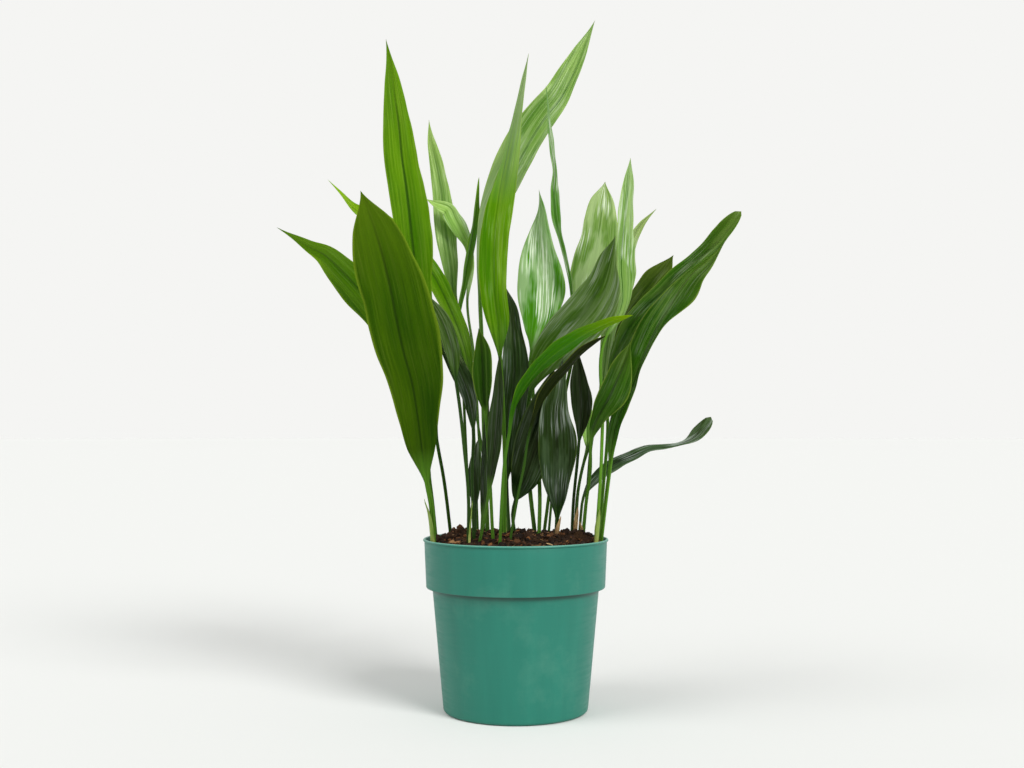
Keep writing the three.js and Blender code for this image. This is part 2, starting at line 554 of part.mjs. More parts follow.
function rhizomeGeometry( rhizome, grow = 0 ) {

	const path = smoothRoute( rhizome.route.map( ( [ x, y ] ) => new THREE.Vector3( x, y, rhizomeDepth ) ) );
	const steps = Math.round( path.length / rhizomeStep );
	const rings = [];
	for ( let i = 0; i <= steps; i ++ ) {

		const t = i / steps;
		const centre = path.pointAt( path.length * t );
		const along = path.directionAt( path.length * t );
		if ( i === 0 ) centre.addScaledVector( along, - grow );
		if ( i === steps ) centre.addScaledVector( along, grow );
		const aside = new THREE.Vector3( along.y, - along.x, 0 ).normalize();
		const radius = rhizomeRadius * ( i === 0 || i === steps ? rhizomeEndRatio : 1 ) + grow;
		const ring = [];
		for ( let j = 0; j < rhizomeSides; j ++ ) {

			const angle = 2 * Math.PI * j / rhizomeSides;
			ring.push( centre.clone().addScaledVector( aside, - radius * Math.cos( angle ) )
				.add( new THREE.Vector3( 0, 0, radius * Math.sin( angle ) ) ) );

		}

		rings.push( ring );

	}

	return closedLoft( rings );

}

function soilGeometry() {

	const innerFoot = footRadius - wall - gap;
	const innerBodyTop = bodyTopRadius - wall - gap;
	const innerBandBottom = bandBottomRadius - wall - gap;
	const shelf = bandBottom + wall + gap;
	const innerTop = THREE.MathUtils.mapLinear( soilEdge, shelf, potHeight, innerBandBottom,
		bandTopRadius - wall - gap );
	const profile = [
		[ 0, floorThickness + gap ],
		[ innerFoot - innerChamfer, floorThickness + gap ],
		[ innerFoot, floorThickness + gap + innerChamfer ],
		[ innerBodyTop, shelf ],
		[ innerBandBottom, shelf ],
		[ innerTop, soilTop( innerTop, 0 ) ],
	];
	for ( const part of [ 0.66, 0.33, 0 ] ) {

		profile.push( [ innerTop * part, soilTop( innerTop * part, 0 ) ] );

	}

	const hollows = [
		...leaves.map( socketSolid ),
		...rhizomes.map( ( rhizome ) => toSolid( rhizomeGeometry( rhizome, gap ) ) ),
	];
	return toGeometry( hollows.reduce( ( soil, hollow ) => soil.subtract( hollow ),
		toSolid( turned( profile, potSides ) ) ) );

}

// A thin curved scale that wraps part of the way round a stalk and narrows to its tip
function sheathGeometry( sheath ) {

	const leaf = leaves.find( ( each ) => each.name === sheath.leaf );
	const route = leafRoute( leaf );
	const rings = [];
	for ( let i = 0; i <= sheathSteps; i ++ ) {

		const t = i / sheathSteps;
		const u = route.at[ 1 ] + sheathRise + sheath.height * t;
		const centre = route.pointAt( u );
		const { across, face } = leafAxes( route.directionAt( u ), leaf.turn[ 0 ] );
		const spread = radians( sheathFootWrap - ( sheathFootWrap - sheathTipWrap ) * t * t );
		const stand = gap + 0.1 + sheath.flare * t * t;
		const ring = [];
		for ( let j = 0; j < 2 * sheathArcPoints; j ++ ) {

			const outer = j < sheathArcPoints;
			const step = outer ? j : 2 * sheathArcPoints - 1 - j;
			const angle = radians( sheath.side ) + spread * ( 2 * step / ( sheathArcPoints - 1 ) - 1 );
			const off = stand + ( outer ? sheathThickness : 0 );
			ring.push( centre.clone()
				.addScaledVector( across, ( leaf.stalk / 2 + off ) * Math.cos( angle ) )
				.addScaledVector( face, - ( leaf.stalk * stalkDepthRatio / 2 + off ) * Math.sin( angle ) ) );

		}

		rings.push( ring );

	}

	return closedLoft( rings );

}

const potMaterial = new THREE.MeshStandardMaterial( { color: colours.pot, roughness: 0.5, metalness: 0 } );
const soilMaterial = new THREE.MeshStandardMaterial( { color: colours.soil, roughness: 1, metalness: 0 } );
const plantMaterial = ( colour ) => new THREE.MeshStandardMaterial( {
	color: colours[ colour ], roughness: 0.4, metalness: 0,
} );

const plant = new THREE.Group();

function add( name, geometry, material ) {

	const mesh = new THREE.Mesh( geometry, material );
	mesh.name = name;
	plant.add( mesh );

}

add( 'pot', potGeometry(), potMaterial );
add( 'soil', soilGeometry(), soilMaterial );
for ( const rhizome of rhizomes ) add( rhizome.name, rhizomeGeometry( rhizome ), plantMaterial( 'rhizome' ) );
for ( const leaf of leaves ) add( leaf.name, leafGeometry( leaf ), plantMaterial( leaf.colour ) );
for ( const sheath of sheaths ) add( sheath.name, sheathGeometry( sheath ), plantMaterial( sheath.colour ) );

export default plant;
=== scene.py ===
# Potted cast iron plant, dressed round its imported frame. Metres, Z up, the plant's front faces -Y.
import math
import random
from functools import partial

import bpy
import numpy as np
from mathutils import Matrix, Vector, noise


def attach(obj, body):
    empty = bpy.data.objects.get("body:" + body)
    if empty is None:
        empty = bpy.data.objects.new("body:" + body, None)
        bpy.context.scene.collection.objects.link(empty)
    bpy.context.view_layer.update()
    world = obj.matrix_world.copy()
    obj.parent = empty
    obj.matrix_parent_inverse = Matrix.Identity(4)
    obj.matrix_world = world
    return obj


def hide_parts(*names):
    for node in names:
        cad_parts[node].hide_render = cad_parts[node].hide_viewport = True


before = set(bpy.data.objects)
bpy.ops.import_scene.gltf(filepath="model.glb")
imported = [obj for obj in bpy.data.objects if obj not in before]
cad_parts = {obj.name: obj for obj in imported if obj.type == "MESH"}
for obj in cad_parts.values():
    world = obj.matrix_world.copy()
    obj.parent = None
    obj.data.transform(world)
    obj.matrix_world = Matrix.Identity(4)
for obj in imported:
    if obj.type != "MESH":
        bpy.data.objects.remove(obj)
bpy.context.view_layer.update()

mm = 0.001
scene = bpy.context.scene
scene.view_settings.view_transform = "Standard"
scene.view_settings.look = "None"


# Small helpers

# Turns #rrggbb to linear.
def srgb(hexColour):
    channels = [int(hexColour[i:i + 2], 16) / 255 for i in (1, 3, 5)]
    return tuple(c / 12.92 if c <= 0.04045 else ((c + 0.055) / 1.055) ** 2.4 for c in channels) + (1.0,)


# Adds a node. Its inputs are sockets, numbers or #rrggbb colours, in order or by name, and any other words
# are its settings. Gives back the output that is asked for, or else the first one in use.
def addNode(tree, kind, inputs=(), output=None, stops=(), **settings):
    node = tree.nodes.new("ShaderNode" + kind)
    for name, value in settings.items():
        setattr(node, name, value)
    for place, value in inputs.items() if isinstance(inputs, dict) else enumerate(inputs):
        if isinstance(value, bpy.types.NodeSocket):
            tree.links.new(value, node.inputs[place])
        else:
            node.inputs[place].default_value = srgb(value) if isinstance(value, str) else value
    if stops:
        elements = node.color_ramp.elements
        while len(elements) < len(stops):
            elements.new(0.5)
        for element, (position, colour) in zip(elements, stops):
            element.position = position
            element.color = srgb(colour)
    inUse = (socket for socket in node.outputs if socket.enabled)
    return node.outputs[output] if output else next(inUse, None)


# Paints layers over a colour. Each one fades in between two values of its field, up to its strength.
def addLayers(add, colour, *layers):
    for field, start, full, strength, paint in layers:
        amount = add("MapRange", (field, start, full, 0, strength))
        colour = add("Mix", {0: amount, 6: colour, 7: paint}, data_type="RGBA")  # its colours are 6 and 7
    return colour


# A new, empty material, and the function that adds nodes to it.
def newMaterial(name):
    material = bpy.data.materials.new(name)
    material.use_nodes = True
    material.node_tree.nodes.clear()
    return material, partial(addNode, material.node_tree)


def deselectAll():
    if bpy.context.object and bpy.context.object.mode != "OBJECT":
        bpy.ops.object.mode_set(mode="OBJECT")
    bpy.ops.object.select_all(action="DESELECT")


# Smooths the piece, gives it its material and tells the frame what it is.
def finishPiece(piece, node, material, smoothAngle):
    deselectAll()
    piece.select_set(True)
    bpy.context.view_layer.objects.active = piece
    bpy.ops.object.transform_apply()
    bpy.ops.object.shade_smooth_by_angle(angle=math.radians(smoothAngle))
    piece.data.materials.clear()
    piece.data.materials.append(material)
    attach(piece, "root")
    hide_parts(node)


# Keeps up to three values for every vertex. Each is a list, or one number for all.
def storeVectors(mesh, name, *columns):
    rows = np.zeros((len(mesh.vertices), 3), np.float32)
    for i, column in enumerate(columns):
        rows[:, i] = column
    mesh.attributes.new(name, "FLOAT_VECTOR", "POINT").data.foreach_set("vector", rows.ravel())


# A flat grid to be shaped, and how far across and along it each vertex is, from -1 to 1.
def newGrid(name, columns, rows):
    deselectAll()
    bpy.ops.mesh.primitive_grid_add(x_subdivisions=columns, y_subdivisions=rows, size=2)
    piece = bpy.context.object
    piece.name = name
    grid = np.zeros(len(piece.data.vertices) * 3)
    piece.data.vertices.foreach_get("co", grid)
    return piece, grid[0::3], grid[1::3]


# A closed body turned from rings of a radius and a height in millimetres, its first and last ring filled.
def turnRings(name, rings, sides):
    deselectAll()
    radius, height = rings[0]
    bpy.ops.mesh.primitive_circle_add(
        vertices=sides, radius=radius * mm, location=(0, 0, height * mm), fill_type="NOTHING")
    piece = bpy.context.object
    piece.name = name
    bpy.ops.object.transform_apply()
    bpy.ops.object.mode_set(mode="EDIT")
    bpy.ops.mesh.select_all(action="SELECT")
    bpy.ops.mesh.edge_face_add()
    bpy.ops.mesh.poke()
    bpy.ops.mesh.select_all(action="DESELECT")
    bpy.ops.mesh.select_non_manifold(extend=False)
    for nextRadius, nextHeight in rings[1:]:
        bpy.ops.mesh.extrude_edges_move(TRANSFORM_OT_translate={"value": (0, 0, (nextHeight - height) * mm)})
        ratio = nextRadius / radius
        bpy.ops.transform.resize(value=(ratio, ratio, 1), center_override=(0, 0, nextHeight * mm))
        radius, height = nextRadius, nextHeight
    bpy.ops.mesh.edge_face_add()
    bpy.ops.mesh.poke()
    bpy.ops.mesh.select_all(action="SELECT")
    bpy.ops.mesh.normals_make_consistent(inside=False)
    bpy.ops.object.mode_set(mode="OBJECT")
    return piece


# Camera, at the photograph's viewing angle

# Its place is in metres, its lens and sensor in millimetres, and it is tilted up by so many degrees.
cameraView = dict(place=(-0.0038, -1.291, 0.284), pitchUp=2.2, lens=43.95, sensor=36, nearest=0.02)

bpy.ops.object.camera_add(
    location=cameraView["place"], rotation=(math.radians(90 + cameraView["pitchUp"]), 0, 0))
camera = bpy.context.object
camera.data.lens = cameraView["lens"]
camera.data.sensor_width = cameraView["sensor"]
camera.data.clip_start = cameraView["nearest"]
scene.camera = camera
print("camera placed")


# Pot

# Of the pot's colours, the pale one on the lip's edge is a painted highlight and the darkest is painted shade
# under the band
potShape = dict(
    height=175, foot=74, footRounding=3.5, bodyTop=85.3, bandBottom=125.5, bandBottomRadius=91.7,
    bandTopRadius=94.2, lip=95, lipHeight=2.4, wall=1.6, floor=2, innermostRing=6, sides=192,
    holeRadius=4.5, holeCircle=52, holes=8, holeSides=32,
    teal="#086A59", paleTeal="#10715F", dust="#6A9C88", paintedLipHighlight="#8CC4B2", paintedBandShade="#06382F")


def potPlastic():
    # Polypropylene, injection moulded: an even teal with a soft sheen, faint flow lines up the wall, fine
    # rubs, a little dried dust, a painted highlight on the lip's edge and painted shade under the band
    s = potShape
    band, top = s["bandBottom"] * mm, s["height"] * mm
    material, add = newMaterial("teal polypropylene")
    place = add("TexCoord", output="Object")
    upward = add("SeparateXYZ", [place], "Z")
    # flow lines 17 mm wide and 250 mm long, rubs 40 mm long and 3 mm wide, dust in patches of about 60 mm
    flowPlace = add("Mapping", {"Vector": place, "Scale": (60, 60, 4)})
    flow = add("TexNoise", {"Vector": flowPlace, "Scale": 1, "Detail": 4, "Roughness": 0.6})
    rubPlace = add("Mapping", {"Vector": place, "Scale": (25, 25, 300), "Rotation": (0.2, 0.1, 0)})
    rubs = add("TexNoise", {"Vector": rubPlace, "Scale": 1, "Detail": 6, "Roughness": 0.7})
    dust = add("TexNoise", {"Vector": place, "Scale": 16, "Detail": 5, "Roughness": 0.65})
    # the mould's grain, drawn 1 mm coarse to show
    grain = add("TexNoise", {"Vector": place, "Scale": 900, "Detail": 2})
    # the painted shade under the band ends where the band's own wall begins
    belowBand = add("MapRange", (upward, band + 0.6 * mm, band + 0.1 * mm, 0, 0.85))
    colour = add("ValToRGB", [flow], stops=[(0.3, s["teal"]), (0.7, s["paleTeal"])])
    # over the teal: dust, then a painted highlight on the lip's top edge and painted shade under the band
    colour = addLayers(
        add, colour, (dust, 0.54, 0.8, 0.22, s["dust"]),
        (upward, top - 1.2 * mm, top - 0.2 * mm, 0.5, s["paintedLipHighlight"]),
        (upward, band - 5 * mm, band - 1 * mm, belowBand, s["paintedBandShade"]))
    rough = add("MapRange", (rubs, 0.3, 0.75, 0.36, 0.56))
    bump = add("Bump", {"Strength": 0.25, "Distance": 0.1 * mm, "Height": grain})
    skin = add("BsdfPrincipled", {"Base Color": colour, "Roughness": rough, "Normal": bump, "IOR": 1.49})
    add("OutputMaterial", [skin])
    return material


# Radius and height of each ring, from the middle of the underside, up the outside and down the inside.
def potProfile():
    s = potShape
    foot, body, lip, wall, rounding = s["foot"], s["bodyTop"], s["lip"], s["wall"], s["footRounding"]
    bandLow, bandHigh, band, top = s["bandBottomRadius"], s["bandTopRadius"], s["bandBottom"], s["height"]
    underLip, floor, innermost = top - s["lipHeight"], s["floor"], s["innermostRing"]
    return [
        (innermost, 0), (foot - rounding - 3, 0), (foot - rounding, 0), (foot - 1.4, 0.9), (foot - 0.3, 2.2),
        (foot, rounding), (foot + 3, 35), (body - 1, band - 12), (body, band - 1.2), (body + 0.5, band - 0.3),
        (body + 1.2, band), (bandLow - 0.6, band), (bandLow, band + 0.7), (bandHigh - 0.9, top - 14),
        (bandHigh - 0.5, underLip - 0.7), (bandHigh - 0.6, underLip), (lip - 0.4, underLip + 0.2),
        (lip, underLip + 0.7), (lip, top - 1.3), (lip - 0.25, top - 0.6), (lip - 0.7, top - 0.15),
        (lip - 1.2, top), (bandHigh - wall + 0.8, top), (bandHigh - wall + 0.2, top - 0.25),
        (bandHigh - wall, top - 0.9), (bandLow - wall, band + wall), (body - wall + 0.5, band + wall),
        (body - wall, band + wall - 0.8), (foot - wall, floor + 2.5), (foot - wall - 0.8, floor + 0.8),
        (foot - wall - 2.5, floor), (innermost, floor)]


def makePot():
    s = potShape
    pot = turnRings("nursery_pot", potProfile(), s["sides"])
    deselectAll()
    drills = []
    for i in range(s["holes"]):
        angle = 2 * math.pi * i / s["holes"]
        out = s["holeCircle"] * mm
        bpy.ops.mesh.primitive_cylinder_add(
            vertices=s["holeSides"], radius=s["holeRadius"] * mm, depth=4 * s["floor"] * mm,
            location=(out * math.cos(angle), out * math.sin(angle), 0))
        drills.append(bpy.context.object)
    for drill in drills:
        drill.select_set(True)
    bpy.context.view_layer.objects.active = drills[0]
    bpy.ops.object.join()
    drill = bpy.context.object
    deselectAll()
    pot.select_set(True)
    bpy.context.view_layer.objects.active = pot
    cut = pot.modifiers.new("drain holes", "BOOLEAN")
    cut.operation = "DIFFERENCE"
    cut.solver = "EXACT"
    cut.object = drill
    bpy.ops.object.modifier_apply(modifier=cut.name)
    bpy.data.objects.remove(drill)
    finishPiece(pot, "pot", potPlastic(), smoothAngle=35)


makePot()
print("pot made")


# Leaves

# Routes are in millimetres: the foot on the soil, then points up the stalk and the blade to its tip.
# left and right are the blade's widths from its midrib at every eighth, or width and peak say how wide it
# is and where. base counts the point where the blade starts, turn is which way its face looks at base,
# middle and tip, fold and roll bend each half, rise and fall shape its ends and blunt rounds its tip.
# pleat is how deep its long folds are and wave how far its margins ripple. look is its colouring, or else
# that of its slot: tone lightens or darkens it, fade lightens it towards its tip, stem brightens its stalk,
# glaze adds painted sheen of pale streaks, silver patches and glints, rib shows its midrib, and bloom is from
# where to where up the blade a painted grey sheen comes in, and how strongly it greys it.
leafShapes = {
    "tall_left": dict(slot="bright", stem=0.05, rib=1.2, left=[7, 12, 15, 18, 21, 20, 11],
        right=[7, 10.5, 14.5, 22, 19, 14.5, 9], base=2, stalk=3.6, turn=[10, 18, 25], route=[[-68, 34],
        [-76, 31, 236], [-83, 26, 276], [-88, 20, 328], [-95, 16, 386], [-102, 14, 433], [-109, 12, 489],
        [-115, 12, 541], [-119, 11, 569], [-123, 11, 607], [-128, 12, 642], [-132, 13, 671],
        [-137, 14, 699]]),
    "front_left": dict(slot="bright", tone=-0.57, fade=0.35, stem=0.7,
        left=[15, 20, 23.5, 27, 28.5, 30, 22], right=[14, 23, 34, 39, 37, 29.5, 20], base=2, stalk=5,
        turn=[-5, 0, 10], fold=12, route=[[-83, -22], [-85, -31, 211], [-89, -38, 234], [-93, -47, 266],
        [-97, -56, 300], [-102, -65, 332], [-110, -75, 364], [-116, -83, 394], [-122, -91, 427],
        [-131, -103, 465], [-140, -112, 493], [-147, -118, 512]]),
    "low_left": dict(slot="bright", tone=-0.35, stem=0.35, left=[4, 9, 12, 17, 23, 17.5, 6],
        right=[5, 7.5, 11, 14, 16, 15, 7], stalk=3.6, turn=[18, 26, 32], route=[[-82, 6], [-86, 2, 214],
        [-89, -2, 240], [-90, -6, 271], [-106, -15, 329], [-123, -19, 370], [-142, -22, 405],
        [-161, -24, 430], [-178, -26, 448], [-194, -28, 463], [-211, -30, 472], [-227, -32, 482],
        [-242, -34, 491]]),
    "back_left": dict(slot="pale", look="bright", tone=0.3, fade=0.6, paintedSheen=0.3,
        left=[4, 9, 13, 15, 14, 8, 3], right=[8, 11, 11, 11, 13, 15, 5], base=2, turn=[35, 28, 25],
        route=[[-40, 32], [-44, 38, 276], [-47, 43, 329], [-56, 50, 377], [-74, 61, 424], [-98, 75, 468],
        [-125, 84, 496], [-154, 94, 517], [-181, 102, 534], [-196, 107, 552], [-212, 112, 569]]),
    "light_left": dict(slot="pale", tone=0.05, stem=0.05, paintedSheen=0.3, left=[3, 7, 12, 14, 12, 9.5, 5.5],
        right=[2.5, 5, 8.5, 12, 11, 8.5, 6], base=2, stalk=3.2, turn=[25, 22, 15], route=[[-49, 54],
        [-54, 64, 275], [-60, 79, 374], [-64, 84, 413], [-69, 88, 437], [-71, 93, 462], [-76, 98, 496],
        [-80, 104, 525], [-85, 111, 563], [-90, 116, 589], [-96, 122, 615], [-99, 128, 642]]),
    "folded_over": dict(slot="pale", tone=0.6, paintedSheen=0.6, rib=0.3, left=[3, 5, 6, 7, 10.5, 13, 9],
        right=[3, 4, 4, 7, 9, 6, 4], stalk=3.2, turn=[50, 18, 5], route=[[-33, 40], [-39, 52, 275],
        [-46, 74, 373], [-53, 84, 430], [-50, 87, 461], [-51, 90, 488], [-60, 90, 506], [-67, 89, 520],
        [-74, 87, 533], [-83, 84, 536], [-92, 80, 538], [-99, 78, 541]]),
    "edge_left": dict(slot="dark", look="bright", tone=0.3, width=22, peak=0.45, stalk=3, turn=[72, 70, 65],
        rise=0.8, route=[[-28, 30], [-37, 45, 276], [-56, 66, 361], [-62, 71, 405], [-56, 72, 454],
        [-47, 72, 503], [-40, 72, 564]]),
    "tall_middle": dict(slot="bright", tone=0.48, fade=0.1, stem=0.55, paintedSheen=0.25, rib=0.35,
        paintedGreySheen=(0.5, 0.85, 1), left=[12, 15, 15.5, 11, 5, 3, 2.5], right=[14, 15, 18, 20.5, 19, 12, 5],
        base=4, stalk=4, turn=[-18, -26, -35], route=[[-12, -10], [-11, -13, 235], [-12, -16, 286],
        [-14, -20, 332], [-16, -23, 361], [-17, -25, 373], [-18, -27, 391], [-21, -31, 417],
        [-22, -34, 440], [-22, -37, 473], [-16, -44, 527], [-8, -49, 566], [0, -54, 601], [7, -58, 632],
        [13, -62, 661]]),
    "tall_right": dict(slot="mid", look="pale", tone=0.08, fade=0, stem=0.3, paintedSheen=0.4, pleat=0.3,
        paintedGreySheen=(0.55, 0.25, 0.95), left=[6, 13, 23, 27, 23, 20, 12], right=[7.5, 13, 14, 12.5, 12, 7.5, 4.5],
        stalk=4.4, turn=[10, 10, 10], route=[[-29, 14], [-33, 22, 276], [-36, 37, 382], [-38, 45, 430],
        [-37, 51, 467], [-27, 60, 520], [-8, 67, 559], [7, 72, 587], [19, 76, 609], [34, 81, 633],
        [50, 86, 654], [64, 92, 682], [77, 98, 713], [90, 104, 749]]),
    "twisted_thin": dict(slot="mid", look="glossy", tone=-0.05, fade=0.1, paintedSheen=1.2,
        left=[3.8, 4.2, 7, 6, 3.6, 4, 3.2], right=[3.8, 4.2, 7, 6, 3.6, 4, 3.2], stalk=3.2,
        turn=[60, 40, 60], route=[[35, 36], [45, 31, 286], [56, 23, 376], [59, 18, 427], [57, 17, 443],
        [51, 16, 468], [47, 16, 485], [43, 15, 503], [41, 15, 519], [40, 15, 538], [41, 15, 558],
        [39, 15, 575], [36, 14, 596], [34, 14, 623], [32, 14, 649]]),
    "glossy_middle": dict(slot="mid", look="glossy", tone=0.4, fade=0, stem=0.5, paintedSheen=1.6, pleat=0.4,
        rib=0.5, left=[15, 24, 28, 27, 23, 14, 3.5], right=[9, 18, 24, 20, 12, 7.5, 4.5], base=4, stalk=4,
        fold=14, route=[[24, 0], [25, 6, 214], [22, 13, 276], [18, 21, 328], [17, 26, 369], [22, 28, 384],
        [27, 30, 405], [29, 32, 430], [30, 33, 449], [30, 35, 467], [29, 38, 501], [27, 39, 527],
        [25, 40, 544]]),
    "glossy_right": dict(slot="pale", tone=-0.02, fade=0.1, paintedSheen=1.6, pleat=0.4, rib=0.4,
        left=[11, 18, 23, 23, 19, 18, 14], right=[11, 19, 24, 26, 24, 19, 12], stalk=3.6, fold=8,
        route=[[30, 44], [46, 54, 286], [59, 62, 351], [67, 67, 386], [76, 71, 423], [83, 76, 456],
        [90, 81, 490], [95, 85, 524], [100, 92, 563]]),
    "narrow_right": dict(slot="pale", tone=0.28, fade=0, stem=1, paintedSheen=0.8, rib=1.25,
        left=[5, 7, 8, 13, 15, 13, 7.5], right=[8, 12, 20, 19, 11, 8, 6], stalk=4, turn=[58, 48, 25],
        fold=22, route=[[81, -24], [86, -28, 245], [88, -28, 296], [92, -20, 381], [104, -17, 402],
        [109, -15, 418], [109, -13, 435], [108, -12, 452], [109, -10, 472], [113, -8, 506], [116, -7, 534],
        [117, -7, 549], [119, -6, 568]]),
    "bent_tip": dict(slot="mid", look="pale", tone=-0.1, fade=0.4, stem=0.05, paintedSheen=0.4,
        paintedGreySheen=(0.5, 0.8, 0.3), left=[4, 9, 13, 14, 12, 9, 5], right=[3, 5, 8, 10, 10, 8, 5], base=4,
        turn=[30, 35, 40], route=[[62, 26], [66, 25, 225], [72, 24, 253], [79, 22, 274], [86, 19, 301],
        [91, 16, 336], [98, 20, 386], [110, 34, 435], [121, 50, 480], [136, 62, 508], [155, 72, 529]]),
    "broad_grey": dict(slot="mid", look="grey", tone=-0.05, fade=-0.1, paintedSheen=0.5, rib=0.4,
        left=[9, 16.5, 20.5, 20.5, 19.5, 15, 11], right=[10.5, 20, 27, 30, 30, 21, 7], stalk=4.4,
        turn=[-10, -15, -30], fold=12, route=[[20, 8], [14, 7, 234], [12, 3, 286], [15, -9, 325],
        [21, -17, 343], [34, -26, 365], [51, -34, 386], [71, -40, 408], [84, -46, 429], [92, -51, 451],
        [99, -58, 479]]),
    "bright_arch": dict(slot="bright", look="vivid", tone=-0.25, fade=0.5, stem=0.5, width=38, stalk=4,
        turn=[-100, -112, -112], fold=10, route=[[-16, -62], [-14, -65, 218], [-11, -69, 257],
        [-7, -73, 282], [-1, -80, 311], [18, -93, 341], [52, -115, 369], [83, -134, 385],
        [107, -150, 391]]),
    # its low tone is painted shade on the shadowed face it shows
    "olive_arch": dict(slot="dark", look="olive", tone=-0.85, fade=0.1, stem=0.2, width=32, stalk=3.6,
        turn=[-100, -108, -108], fold=10, route=[[-6, -42], [2, -42, 222], [8, -42, 251], [12, -44, 278],
        [19, -48, 301], [31, -52, 326], [51, -57, 349], [73, -60, 370], [89, -62, 379]]),
    "far_right": dict(slot="dark", look="mid", tone=-0.35, stem=0.5, paintedSheen=0.8, blunt=1,
        left=[6, 9.5, 11, 11, 10, 10, 11], right=[8.5, 12, 11, 10, 10, 10, 7], stalk=3.6,
        turn=[-35, -30, -25], route=[[85, 4], [91, 3, 234], [95, 1, 286], [95, -1, 333], [104, -7, 366],
        [117, -11, 391], [133, -15, 411], [149, -19, 426], [166, -24, 443], [185, -28, 459],
        [206, -34, 479], [218, -37, 494], [227, -40, 506]]),
    "broad_right": dict(slot="mid", tone=-0.3, stem=0.8, paintedSheen=0.4, left=[8, 10, 13, 20, 18, 9, 3],
        right=[6, 7, 4, 4, 9, 20, 11], base=2, stalk=4.4, turn=[-45, -40, -8], fold=16, route=[[87, -6],
        [93, -14, 225], [96, -18, 251], [98, -21, 271], [102, -25, 291], [109, -30, 311], [118, -35, 331],
        [124, -41, 350], [132, -46, 369], [140, -52, 387], [150, -58, 404], [161, -65, 423],
        [172, -72, 438], [185, -79, 450], [195, -83, 460], [203, -87, 469]]),
    "olive_right": dict(slot="dark", look="olive", tone=-0.3, paintedSheen=0.25, left=[3.5, 6, 8, 10, 12, 13, 8.5],
        right=[5, 10, 14, 16, 16, 14, 10], turn=[-20, -25, -30], route=[[72, 48], [77, 50, 224],
        [82, 54, 275], [104, 58, 362], [111, 62, 389], [123, 67, 414], [136, 72, 432], [152, 77, 451],
        [165, 82, 466], [175, 86, 480]]),
    "front_right": dict(slot="mid", tone=-0.42, stem=0.6, paintedSheen=0.2, left=[4, 7, 11, 12.5, 12, 12, 8],
        right=[6, 9, 13, 17, 16, 10.5, 4], route=[[69, 6], [72, -2, 208], [76, -14, 245], [76, -28, 276],
        [78, -36, 289], [85, -46, 305], [92, -54, 318], [99, -61, 334], [105, -67, 348], [109, -72, 360],
        [111, -78, 372]]),
    "low_right": dict(slot="dark", tone=0.1, paintedSheen=1, blunt=1, left=[9, 12, 11, 8, 4, 3.5, 9],
        right=[9, 12, 11, 8, 4, 3.5, 9], base=2, turn=[-60, -60, -40], fold=8, route=[[66, 18],
        [68, 19, 197], [71, 22, 216], [79, 26, 229], [93, 27, 243], [108, 27, 253], [123, 26, 259],
        [139, 26, 266], [157, 25, 269], [173, 25, 272], [183, 24, 276], [193, 23, 284], [200, 22, 292],
        [205, 22, 300]]),
    "dark_front": dict(slot="dark", tone=-0.3, stem=0.1, paintedSheen=1, pleat=0.6,
        left=[8, 15.5, 19.5, 19.5, 17.5, 13, 8.5], right=[10, 14, 18.5, 20, 15, 10, 5.5], base=1, stalk=4.4,
        turn=[5, 5, 5], fold=8, route=[[42, 12], [43, 9, 195], [42, 0, 224], [43, -10, 252], [42, -19, 280],
        [41, -27, 306], [44, -34, 328], [47, -42, 358]]),
    "black_back": dict(slot="dark", tone=-0.6, stem=0, paintedSheen=0.3, left=[5, 9, 12, 13, 13, 10, 5],
        right=[6, 10, 12, 12, 9, 6, 3], turn=[20, 20, 20], route=[[60, 50], [62, 49, 211], [66, 47, 252],
        [68, 47, 275], [70, 47, 308], [69, 48, 340], [66, 50, 374]]),
    "small_back": dict(slot="pale", tone=1.3, width=14, stalk=2.6, route=[[64, 40], [67, 42, 222],
        [72, 50, 248], [77, 59, 268], [78, 64, 288], [80, 70, 317]]),
    "dark_middle": dict(slot="dark", tone=-0.1, stem=0.1, paintedSheen=0.4, pleat=0.5,
        left=[4, 8, 12, 14.5, 13, 9.5, 6], right=[12, 18, 20, 18, 14.5, 9.5, 7], base=2, stalk=5,
        turn=[10, 0, -10], route=[[-7, 8], [-9, 12, 208], [-10, 14, 234], [-8, 21, 276], [-4, 28, 312],
        [-1, 33, 350], [-2, 38, 387], [-5, 43, 417], [-11, 48, 441]]),
    "small_upright": dict(slot="mid", tone=-0.6, stem=0.6, left=[4.5, 8, 10, 11, 9.5, 7, 4],
        right=[4, 7, 9, 9.5, 10, 9, 5], base=2, route=[[-23, -32], [-26, -33, 236], [-30, -39, 301],
        [-32, -42, 321], [-33, -46, 344], [-34, -51, 365], [-37, -56, 387]]),
    "grey_left": dict(slot="pale", look="grey", tone=-0.32, fade=0, stem=0.05, paintedSheen=0.25, width=18, base=4,
        turn=[10, 20, 30], route=[[-47, -50], [-47, -50, 223], [-51, -49, 266], [-56, -49, 311],
        [-60, -48, 338], [-64, -47, 368], [-75, -46, 398], [-90, -44, 422]]),
    "dark_left": dict(slot="dark", tone=-0.1, stem=0.05, paintedSheen=0.5, width=20, base=2, turn=[10, 20, 30],
        route=[[-42, -26], [-44, -27, 243], [-43, -28, 288], [-48, -27, 321], [-61, -27, 353],
        [-76, -26, 383], [-89, -26, 410]]),
    "small_dark": dict(slot="dark", stem=0, paintedSheen=0.6, width=14, peak=0.4, base=1, stalk=3, rise=0.8,
        fall=0.8, route=[[-42, 6], [-42, 6, 209], [-43, 5, 234], [-39, 2, 276]]),
    "edge_young": dict(slot="mid", look="dark", tone=-0.3, stem=0.4, paintedSheen=0.3, width=15, peak=0.45, base=1,
        stalk=3.2, turn=[50, 50, 50], rise=0.8, fall=0.8, route=[[-35, -12], [-34, -12, 199],
